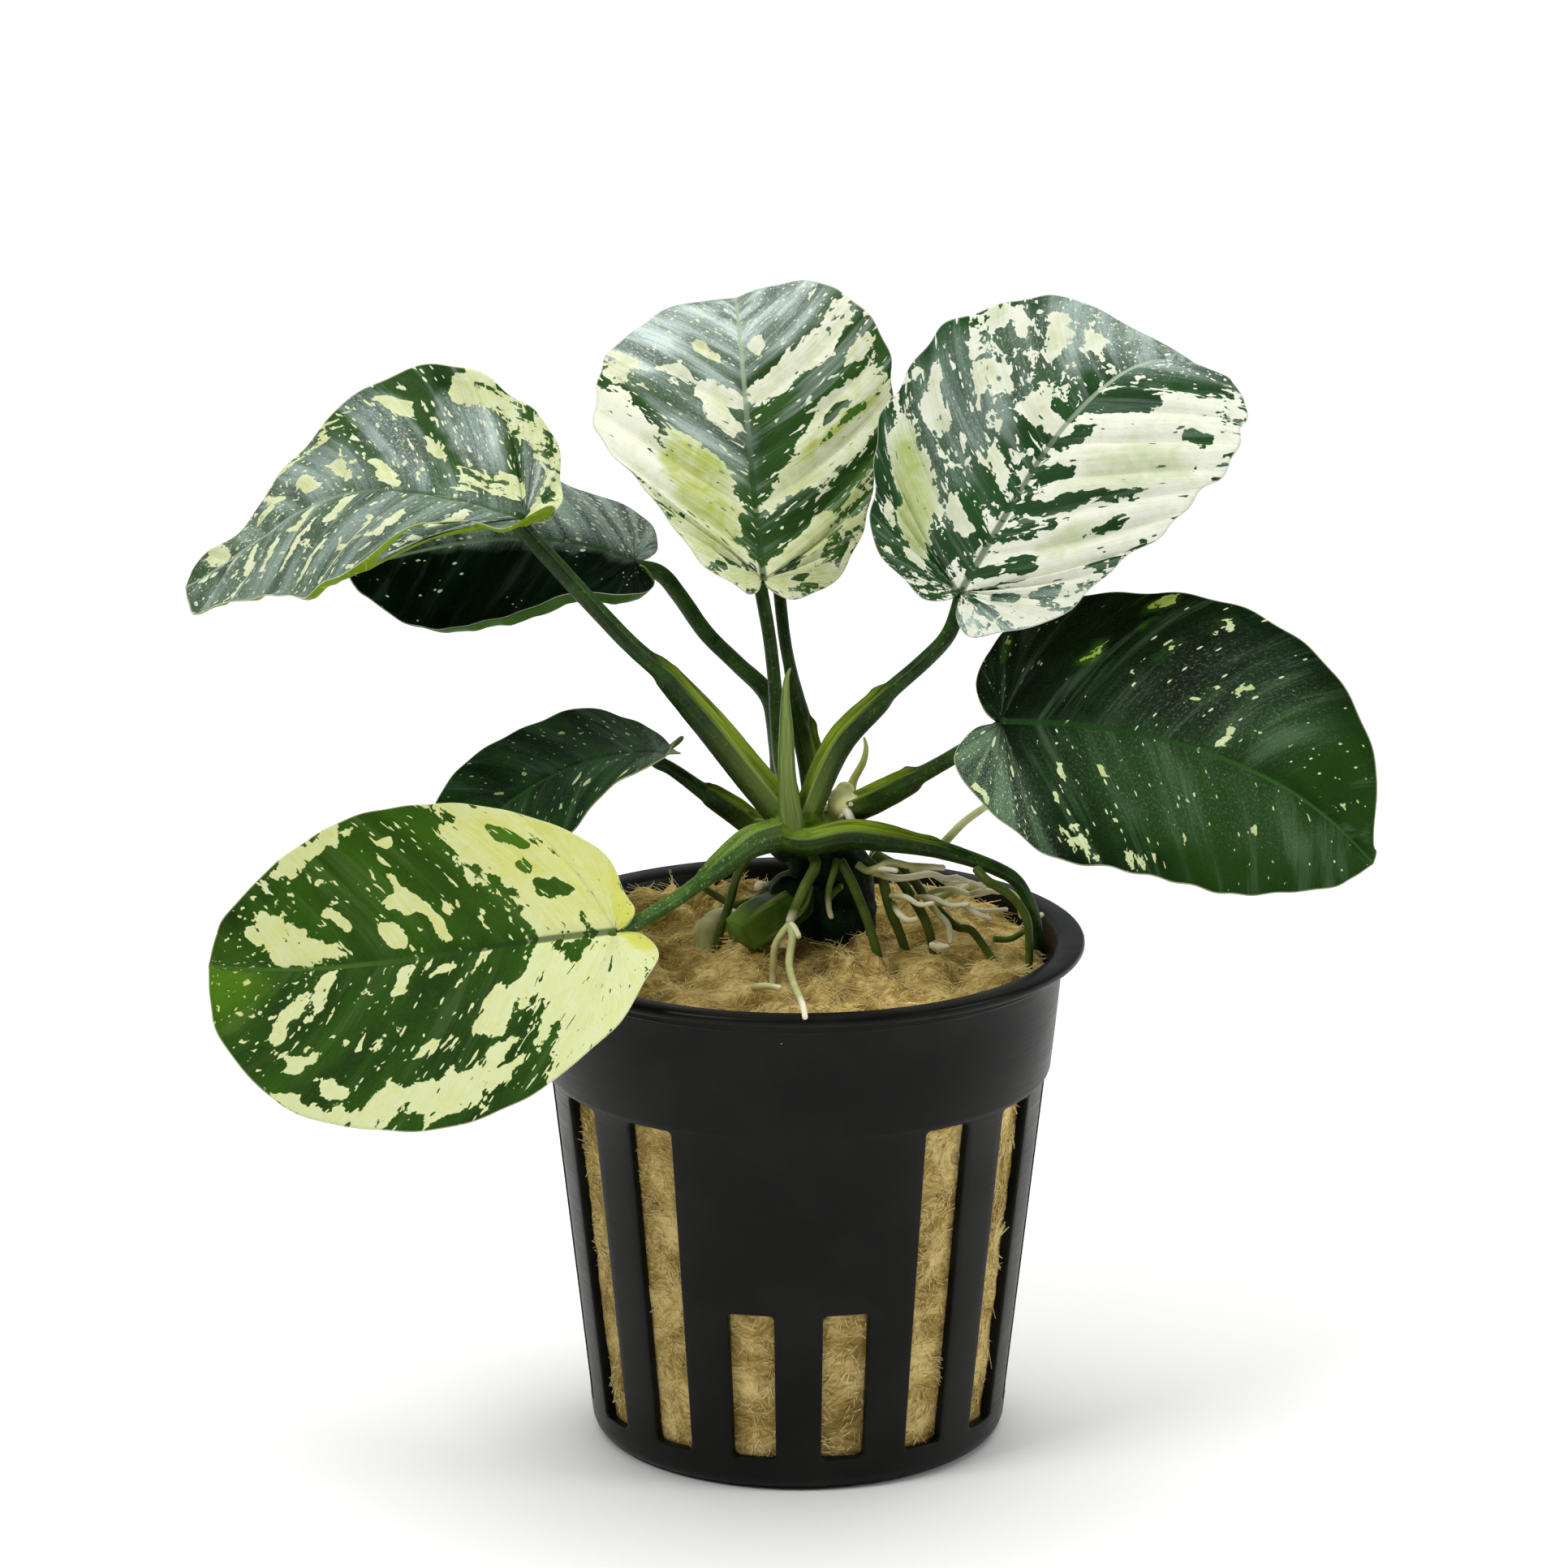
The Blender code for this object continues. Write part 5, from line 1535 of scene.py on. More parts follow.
# The painted areas of each blade, in order: what they do and how much, and then the ranges of each, as the
# lowest and highest share along the margin from the stalk to the tip, and the lowest and highest place from
# the midrib (0) to the margin (1, or -1 on the right half). The amount is the painted sheen, or else the lime.
MARBLING: dict[str, tuple[tuple[Any, ...], ...]] = {
    "front": (
        (Shade.CREAM, 0.15, (0.0, 0.34, 0.0, 1.1), (0.25, 0.39, 0.0, 0.85), (0.3, 0.455, 0.05, 0.62),
         (0.35, 0.475, 0.12, 0.42), (0.47, 0.53, 0.05, 0.35), (0.45, 0.49, 0.65, 0.78),
         (0.48, 0.52, 0.5, 0.66), (0.52, 0.57, 0.24, 0.5), (0.5, 0.6, 0.68, 0.92), (0.6, 0.65, 0.72, 0.95),
         (0.7, 0.73, 0.75, 0.85), (0.77, 0.8, 0.65, 0.82), (0.62, 0.78, 0.94, 1.05),
         (0.83, 0.85, 0.3, 0.7), (0.81, 0.83, 0.05, 0.35), (0.6, 0.62, 0.07, 0.14),
         (0.65, 0.67, 0.07, 0.14), (0.7, 0.72, 0.1, 0.2), (0.61, 0.63, 0.45, 0.55)),
        (Shade.MIXED, 0.2, (0.24, 0.29, 0.15, 0.4)),
        (Shade.CREAM, 0.55, (0.0, 0.56, -1.1, 0.0)),
        (Shade.LIME, 1.0, (0.0, 0.15, -1.1, -0.1), (0.0, 0.1, 0.0, 1.1)),
        (Shade.GREEN, 0.25, (0.42, 0.465, -0.42, -0.24), (0.48, 0.6, -0.98, -0.8), (0.54, 0.82, -1.1, 0.0)),
        (Shade.GREEN, 0.8, (0.43, 0.455, -0.6, -0.47), (0.4, 0.435, -0.83, -0.65)),
        (Shade.MIXED, 0.5, (0.33, 0.39, -0.75, -0.6)),
        (Shade.CREAM, 0.35, (0.64, 0.66, -0.6, -0.1), (0.61, 0.63, -0.36, -0.24), (0.7, 0.73, -0.3, -0.1),
         (0.66, 0.69, -0.48, -0.35), (0.76, 0.78, -0.5, -0.35), (0.735, 0.75, -0.69, -0.61),
         (0.6, 0.62, -0.8, -0.7), (0.62, 0.8, -1.0, -0.88), (0.8, 0.9, -0.27, 0.0),
         (0.84, 0.91, -0.76, -0.22)),
        (Shade.MIXED, 0.3, (0.81, 0.84, -0.45, -0.3), (0.8, 0.84, -0.8, -0.55)),
        (Shade.GREEN, 0.9, (0.9, 1.1, 0.0, 1.1)),
        (Shade.GREEN, 0.3, (0.92, 1.1, -1.1, 0.0)),
    ),
    "top": (
        (Shade.CREAM, 0.6, (0.0, 0.43, -1.1, 1.1)),
        (Shade.GREEN, 0.1, (0.15, 0.19, 0.74, 0.83), (0.16, 0.2, 0.54, 0.71), (0.2, 0.25, 0.34, 0.51),
         (0.2, 0.34, 0.2, 0.3), (0.3, 0.42, 0.08, 0.2), (0.43, 0.45, 0.1, 0.3), (0.46, 0.49, 0.1, 0.3),
         (0.44, 0.53, -0.03, 0.05)),
        (Shade.CREAM, 0.8, (0.42, 0.6, 0.1, 0.62)),
        (Shade.CREAM, 0.0, (0.4, 0.6, 0.6, 1.1)),
        (Shade.GREEN, 0.2, (0.6, 0.64, 0.05, 0.6), (0.65, 0.68, 0.3, 0.65), (0.62, 0.66, 0.6, 0.75)),
        (Shade.CREAM, 0.15, (0.66, 0.74, 0.05, 0.36), (0.71, 0.73, 0.4, 0.7)),
        (Shade.GREEN, 0.2, (0.74, 0.79, 0.08, 0.62), (0.8, 1.0, 0.0, 1.1)),
        (Shade.CREAM, 0.5, (0.79, 0.82, 0.2, 0.5)),
        (Shade.MIXED, 0.3, (0.62, 0.72, 0.7, 1.1), (0.2, 0.3, -0.95, -0.5)),
        (Shade.HAZE, 0.9, (0.66, 0.86, 0.5, 1.1), (0.82, 1.1, -1.1, 1.1)),
        (Shade.HAZE, 0.4, (0.56, 0.8, 0.05, 0.6)),
        (Shade.GREEN, 0.15, (0.14, 0.2, -0.56, -0.34), (0.25, 0.37, -0.38, -0.1), (0.2, 0.3, -0.9, -0.8),
         (0.45, 0.51, -0.34, 0.0), (0.58, 0.62, -0.34, 0.0)),
        (Shade.CREAM, 0.55, (0.38, 0.44, -0.9, -0.12), (0.52, 0.575, -0.9, -0.07)),
        (Shade.MIXED, 0.5, (0.08, 0.16, -0.96, -0.58), (0.2, 0.35, -0.76, -0.54)),
        (Shade.GREEN, 0.6, (0.42, 0.46, -0.94, -0.5)),
        (Shade.MIXED, 0.6, (0.3, 0.42, -0.9, -0.5)),
        (Shade.CREAM, 0.35, (0.5, 0.65, -1.0, -0.3)),
        (Shade.MIXED, 0.9, (0.565, 0.59, -0.9, -0.3)),
        (Shade.GREEN, 0.2, (0.6, 0.62, -0.66, -0.5), (0.65, 0.71, -0.46, 0.0), (0.68, 0.71, -0.7, -0.4)),
        (Shade.MIXED, 0.3, (0.65, 0.71, -1.0, -0.65)),
        (Shade.CREAM, 0.1, (0.715, 0.77, -1.0, 0.0)),
        (Shade.GREEN, 0.2, (0.77, 1.0, -1.1, -0.02)),
        (Shade.CREAM, 0.2, (0.82, 0.85, -0.3, -0.05)),
        (Shade.HAZE, 0.8, (0.8, 1.1, -1.1, -0.3)),
    ),
    "bright": (
        (Shade.MIXED, 0.2, (0.0, 0.24, 0.0, 1.1)),
        (Shade.GREEN, 0.1, (0.22, 1.1, 0.0, 1.1)),
        (Shade.FLECKED, 0.15, (0.34, 0.56, 0.1, 1.0), (0.52, 0.82, 0.12, 1.1)),
        (Shade.GREEN, 0.1, (0.15, 0.4, 0.06, 0.2), (0.3, 0.36, 0.3, 0.95), (0.56, 0.6, 0.3, 0.8)),
        (Shade.CREAM, 0.85, (0.24, 0.44, 0.32, 0.66), (0.36, 0.46, 0.42, 0.8)),
        (Shade.CREAM, 0.35, (0.46, 0.49, 0.1, 0.3), (0.26, 0.3, 0.7, 0.85), (0.5, 0.54, 0.6, 0.8),
         (0.6, 0.63, 0.55, 0.7), (0.66, 0.7, 0.1, 0.3), (0.56, 0.59, 0.1, 0.28), (0.73, 0.77, 0.46, 0.8),
         (0.79, 0.82, 0.4, 0.56), (0.64, 0.68, 0.85, 1.0), (0.2, 0.24, 0.3, 0.6)),
        (Shade.LIME, 0.6, (0.84, 0.95, 0.5, 1.1)),
        (Shade.MIXED, 0.1, (0.0, 0.2, -1.1, 0.0)),
        (Shade.CREAM, 0.1, (0.16, 0.84, -1.1, 0.0)),
        (Shade.CREAM, 0.45, (0.56, 0.66, -0.75, -0.3), (0.44, 0.5, -0.6, -0.3)),
        (Shade.GREEN, 0.1, (0.12, 0.17, -0.6, -0.15), (0.22, 0.28, -0.5, -0.3), (0.24, 0.31, -0.8, -0.56),
         (0.3, 0.36, -0.28, -0.06), (0.36, 0.4, -0.4, -0.05), (0.42, 0.455, -0.42, -0.05),
         (0.48, 0.52, -0.25, 0.0), (0.53, 0.565, -0.62, -0.05), (0.47, 0.5, -0.72, -0.5),
         (0.6, 0.63, -0.22, -0.02), (0.36, 0.4, -0.98, -0.75), (0.66, 0.69, -0.85, -0.72),
         (0.67, 0.7, -0.25, -0.05), (0.73, 0.78, -0.4, -0.08), (0.79, 0.84, -0.9, -0.15),
         (0.86, 1.1, -1.1, 0.0)),
        (Shade.MIXED, 0.1, (0.28, 0.42, -1.05, -0.85)),
        (Shade.HAZE, 0.75, (0.72, 0.92, 0.3, 1.1), (0.84, 1.1, -0.8, 1.1), (0.02, 0.3, -1.1, -0.4)),
        (Shade.HAZE, 0.35, (0.4, 0.75, 0.3, 0.9)),
    ),
    "arched": (
        (Shade.HAZE, 0.36, (0.2, 1.1, -0.1, 1.1)),
        (Shade.CREAM, 0.1, (0.46, 0.48, 0.1, 0.6), (0.55, 0.565, 0.25, 0.6), (0.6, 0.61, 0.3, 0.75),
         (0.65, 0.66, 0.5, 0.85), (0.68, 0.695, 0.05, 0.3), (0.71, 0.725, 0.35, 0.7),
         (0.75, 0.765, 0.0, 0.25), (0.785, 0.795, 0.35, 0.7), (0.82, 0.835, 0.55, 0.85),
         (0.84, 0.85, 0.15, 0.5), (0.88, 0.89, 0.1, 0.35), (0.9, 0.91, 0.5, 0.8), (0.95, 0.97, 0.1, 0.5)),
        (Shade.CREAM, 0.4, (0.0, 0.22, -1.1, 0.0), (0.22, 0.34, -1.1, -0.7), (0.34, 0.44, -0.35, -0.15)),
        (Shade.MIXED, 0.3, (0.12, 0.22, -0.9, -0.5), (0.22, 0.46, -1.1, -0.66), (0.42, 0.53, -0.35, -0.1)),
        (Shade.GREEN, 0.0, (0.14, 0.19, -0.72, -0.5), (0.24, 0.42, -0.62, -0.3), (0.22, 0.42, -0.2, 0.0)),
        (Shade.HAZE, 0.8, (0.22, 0.34, -0.7, -0.15), (0.42, 0.5, -0.82, -0.35), (0.55, 0.62, -0.95, -0.1)),
        (Shade.HAZE, 0.4, (0.66, 0.95, -1.0, 0.0)),
        (Shade.CREAM, 0.3, (0.42, 0.48, -0.92, -0.8), (0.54, 0.57, -0.86, -0.7), (0.52, 0.54, -0.5, -0.35),
         (0.62, 0.65, -0.42, -0.04), (0.68, 0.7, -0.6, -0.3), (0.73, 0.76, -0.66, -0.25),
         (0.78, 0.8, -0.96, -0.55), (0.8, 0.84, -0.7, -0.5), (0.9, 0.95, -1.0, -0.1)),
        (Shade.MIXED, 0.3, (0.6, 0.75, -1.0, -0.88)),
        (Shade.GREEN, 0.0, (0.48, 0.55, -0.96, -0.85), (0.59, 0.61, -0.3, -0.04),
         (0.72, 0.78, -0.86, -0.62)),
        (Shade.GREEN, 0.4, (0.84, 0.9, -1.0, 0.0)),
    ),
    "right_dark": (
        (Shade.MIXED, 1.0, (0.21, 0.24, 0.6, 0.8), (0.46, 0.485, 0.82, 0.98), (0.45, 0.475, 0.4, 0.62),
         (0.49, 0.5, 0.66, 0.78)),
        (Shade.MIXED, 0.3, (0.54, 0.565, 0.45, 0.65), (0.565, 0.585, 0.78, 0.92), (0.64, 0.66, 0.3, 0.5),
         (0.67, 0.69, 0.45, 0.6), (0.735, 0.75, 0.28, 0.42), (0.71, 0.73, 0.12, 0.27),
         (0.88, 0.92, 0.2, 0.45)),
        (Shade.HAZE, 0.14, (0.56, 0.8, 0.0, 0.85)),
        (Shade.HAZE, 0.12, (0.45, 0.9, -0.7, 0.0)),
        (Shade.LIME, 0.5, (0.74, 1.1, 0.0, 1.1), (0.5, 1.1, -1.1, 0.0)),
        (Shade.HAZE, 0.55, (0.03, 0.36, -1.1, -0.15)),
        (Shade.MIXED, 0.2, (0.4, 0.47, -0.95, -0.72), (0.49, 0.58, -1.0, -0.8), (0.18, 0.24, -1.0, -0.9)),
        (Shade.CREAM, 0.3, (0.075, 0.09, -0.56, -0.44), (0.17, 0.19, -0.36, -0.24),
         (0.315, 0.33, -0.47, -0.37), (0.455, 0.465, -0.4, -0.3), (0.54, 0.55, -0.4, -0.3),
         (0.425, 0.435, -0.6, -0.5), (0.775, 0.785, -0.52, -0.42)),
    ),
    "left_small": (
        (Shade.CREAM, 0.4, (0.315, 0.345, 0.78, 0.87), (0.48, 0.5, 0.45, 0.55), (0.455, 0.465, 0.02, 0.09),
         (0.555, 0.565, 0.6, 0.7), (0.545, 0.555, 0.3, 0.4), (0.685, 0.695, -0.32, -0.22),
         (0.765, 0.775, -0.3, -0.2), (0.405, 0.415, -0.6, -0.5), (0.525, 0.535, -0.72, -0.64)),
        (Shade.HAZE, 0.25, (0.0, 0.3, -1.1, 1.1)),
    ),
    "back_dark": (
        (Shade.HAZE, 1.0, (0.0, 0.95, -1.1, -0.05)),
    ),
    "behind_top": (
        (Shade.CREAM, 0.4, (0.34, 0.38, 0.2, 0.5), (0.55, 0.58, -0.6, -0.3), (0.7, 0.72, 0.3, 0.6),
         (0.62, 0.64, -0.25, -0.1)),
    ),
}

# The roots: piece, the node it stands for, slot, and then its main root and its rootlets, each as radius at
# its start and tip, where its pale tip starts, and its route; a place of two numbers lies on the wool
ROOTS: tuple[tuple[Any, ...], ...] = (
    ("front_root", "root_front", "root_green",
     (0.56, 0.42, 0.9, (1.2, -3.0, 58.6), (1.6, -4.1, 57.6), (0.4, -5.9, 55.7), (-0.6, -7.6, 53.8),
      (-0.9, -8.3, 53.0)),
     (0.34, 0.28, 0.0, (-0.8, -8.3, 53.1), (-0.4, -8.8, 52.8), (0.1, -9.5, 52.0))),
    ("front_root_left", "root_front_left", "root_cream",
     (0.36, 0.3, 0.8, (-0.9, -8.3, 53.0), (-1.6, -9.1, 52.3), (-2.3, -10.0, 51.1), (-2.5, -10.8))),
    ("front_root_long", "root_front_long", "root_cream",
     (0.38, 0.28, 0.8, (-0.9, -8.3, 53.0), (-0.6, -9.6, 52.1), (-0.9, -12.5, 50.4), (-0.4, -17.0, 49.6),
      (0.1, -22.2, 50.0), (0.4, -26.2, 50.3), (0.6, -28.0, 49.8))),
    ("loose_root", "root_loose", "root_cream",
     (0.36, 0.3, 0.8, (-4.3, -15.2, 48.9), (-3.0, -16.1, 49.3), (-1.6, -16.6, 49.2))),
    ("left_root", "root_left", "root_green",
     (0.45, 0.42, 3.0, (-1.6, 0.2, 59.4), (-2.6, -0.4, 58.8), (-4.7, -1.1, 57.7), (-5.9, -1.5, 55.8),
      (-6.7, -2.0, 53.0), (-7.5, -2.5, 50.7), (-8.0, -2.8))),
    ("left_curly_root", "root_left_curly", "root_green",
     (0.5, 0.32, 1.2, (-0.2, 1.2, 55.4), (-1.7, 1.0, 54.9), (-2.9, 0.5, 53.8), (-4.1, 0.1, 53.0),
      (-6.2, 0.1, 52.6), (-8.1, 1.0, 53.3), (-9.2, 2.0, 53.8)),
     (0.6, 0.55, 0.5, (-2.4, 0.6, 54.1), (-3.0, 0.0, 54.3), (-4.1, -1.0, 54.7))),
    ("swollen_root", "root_swollen", "root_cream",
     (0.9, 0.8, 0.8, (-9.3, -1.6, 47.4), (-9.0, 0.2, 49.7), (-8.3, 2.4, 50.3), (-7.0, 3.6, 50.4),
      (-5.6, 4.0, 49.8)),
     (0.8, 0.7, 0.8, (-8.0, 0.6, 47.6), (-8.5, 2.0, 49.2), (-6.2, 4.0, 49.7))),
    ("hanging_root", "root_hanging", "root_green",
     (0.36, 0.26, 0.75, (3.6, -3.0, 58.0), (3.4, -3.8, 57.0), (2.9, -4.3, 55.3), (2.9, -4.6, 53.6),
      (3.2, -4.6, 52.5)),
     (0.42, 0.36, 0.9, (2.8, -4.2, 54.4), (3.3, -3.8, 54.9), (4.2, -3.0, 55.4))),
    ("right_root_1", "root_right_1", "root_green",
     (0.5, 0.46, 3.0, (4.0, -3.0, 57.8), (4.9, -4.0, 56.4), (6.0, -4.9, 54.0), (6.9, -6.0, 51.7),
      (7.7, -6.6))),
    ("right_root_2", "root_right_2", "root_green",
     (0.5, 0.46, 3.0, (6.4, -2.2, 57.8), (7.9, -2.3, 56.2), (8.7, -2.5, 53.1), (9.6, -2.6, 50.8),
      (10.4, -2.6)),
     (0.32, 0.28, 0.2, (9.0, -3.0, 53.6), (9.6, -4.2, 52.9), (10.4, -5.0, 52.5), (11.5, -5.0, 52.6))),
    ("right_root_3", "root_right_3", "root_green",
     (0.5, 0.42, 3.0, (7.2, -0.4, 57.8), (8.9, -0.6, 56.4), (10.9, -1.1, 53.6), (12.3, -1.8, 51.2),
      (13.3, -2.3)),
     (0.36, 0.3, 0.0, (13.0, -2.4, 49.4), (13.8, -3.2, 49.3), (14.2, -4.2, 49.5), (13.6, -5.2, 49.7),
      (12.5, -5.2, 50.2))),
    ("right_root_4", "root_right_4", "root_green",
     (0.48, 0.36, 3.0, (7.0, 1.6, 57.4), (8.7, 1.7, 56.4), (10.4, 1.3, 55.6), (12.0, 1.0, 53.4),
      (13.9, 0.7, 51.4), (15.3, 0.4, 50.2), (16.8, 0.2, 49.8), (19.2, -1.0)),
     (0.32, 0.26, 0.8, (18.8, -1.0, 49.4), (20.4, -0.6, 49.3), (21.8, 0.6, 49.8), (22.8, 2.6, 50.3),
      (23.7, 3.6, 50.6))),
    ("pale_root_1", "root_pale_1", "root_cream",
     (0.38, 0.3, 0.8, (5.6, -2.8, 57.4), (6.6, -3.3, 56.9), (7.4, -4.0, 57.3), (8.8, -3.9, 57.9),
      (10.8, -3.3, 57.4), (14.1, -2.2, 56.9)),
     (0.36, 0.28, 0.2, (7.0, -3.4, 56.8), (9.6, -2.0, 55.8), (12.6, -1.0, 55.9), (14.1, -1.0, 55.5),
      (15.4, -1.5, 55.8)),
     (0.3, 0.25, 0.3, (6.6, -3.4, 57.0), (7.8, -4.2, 57.4), (9.5, -5.0, 57.4))),
    ("pale_root_2", "root_pale_2", "root_cream",
     (0.4, 0.3, 0.8, (12.2, 1.6, 53.4), (13.4, 2.2, 52.6), (15.7, 2.6, 53.5), (18.2, 3.0, 53.6),
      (19.9, 3.3, 53.1), (21.1, 3.3, 52.2), (21.7, 3.2, 50.2)),
     (0.3, 0.24, 0.2, (14.8, 2.4, 53.2), (15.4, 2.0, 53.3), (16.4, 2.2, 54.0)),
     (0.32, 0.28, 0.6, (12.1, 0.4, 53.2), (13.5, -1.0, 51.9), (14.4, -1.5, 50.9), (14.7, -2.0, 49.2))),
    ("aerial_root", "root_aerial", "root_cream",
     (0.45, 0.3, 0.8, (12.2, -2.8, 58.6), (13.4, -1.6, 58.6), (14.4, -0.2, 59.3), (16.0, 2.0, 60.3),
      (18.0, 4.0, 61.2), (20.1, 6.0, 62.2))),
    ("root_buds", "", "root_cream",
     (0.5, 0.42, 0.0, (4.6, -0.6, 62.6), (5.2, -2.0, 63.3), (5.4, -2.5, 63.6)),
     (0.48, 0.4, 0.0, (4.4, -1.2, 62.3), (4.8, -2.6, 62.3), (5.2, -3.2, 61.4)),
     (0.26, 0.22, 0.0, (4.0, -1.2, 61.6), (4.2, -2.0, 62.0), (4.3, -2.2, 62.1))),
    ("fine_roots", "", "root_cream",
     (0.28, 0.2, 0.3, (10.4, 1.3, 55.6), (12.6, 0.4, 55.6), (14.4, -0.6, 54.9), (16.2, -1.0, 55.2),
      (18.0, -1.4, 54.6)),
     (0.28, 0.2, 0.3, (14.0, -0.4, 55.0), (15.0, -1.4, 55.7), (16.4, -2.2, 55.5)),
     (0.28, 0.2, 0.3, (12.0, 1.0, 53.4), (14.6, 0.6, 54.0), (16.8, 0.9, 53.3), (19.0, 0.4, 53.8),
      (21.0, 0.8, 53.1)),
     (0.28, 0.2, 0.3, (16.6, 0.9, 53.4), (17.8, 0.0, 54.0), (19.4, -0.5, 53.9)),
     (0.28, 0.2, 0.3, (13.0, 0.8, 52.4), (15.4, 0.2, 52.5), (17.6, 0.6, 51.8), (20.2, 0.1, 52.1)),
     (0.28, 0.2, 0.3, (16.0, 0.3, 52.3), (17.2, -0.8, 51.9), (18.6, -1.1, 51.4)),
     (0.28, 0.2, 0.3, (10.9, -1.1, 53.6), (12.8, -2.2, 53.9), (14.6, -2.6, 53.3), (16.4, -3.2, 53.6)),
     (0.28, 0.2, 0.3, (8.5, -2.4, 54.2), (10.2, -3.6, 54.4), (11.6, -4.2, 53.8), (13.0, -4.6, 54.1))),
    ("bent_stalk_root", "root_from_bent_stalk", "root_green",
     (0.46, 0.36, 3.0, (17.0, -3.6, 57.2), (17.9, -4.6, 56.4), (20.2, -5.2, 55.0), (21.6, -5.6, 53.2),
      (22.0, -5.9, 51.2), (22.0, -6.0))),
)

# Crown stalks meet here, under the young leaf
CROWN = (0.0, -0.9, 60.1)


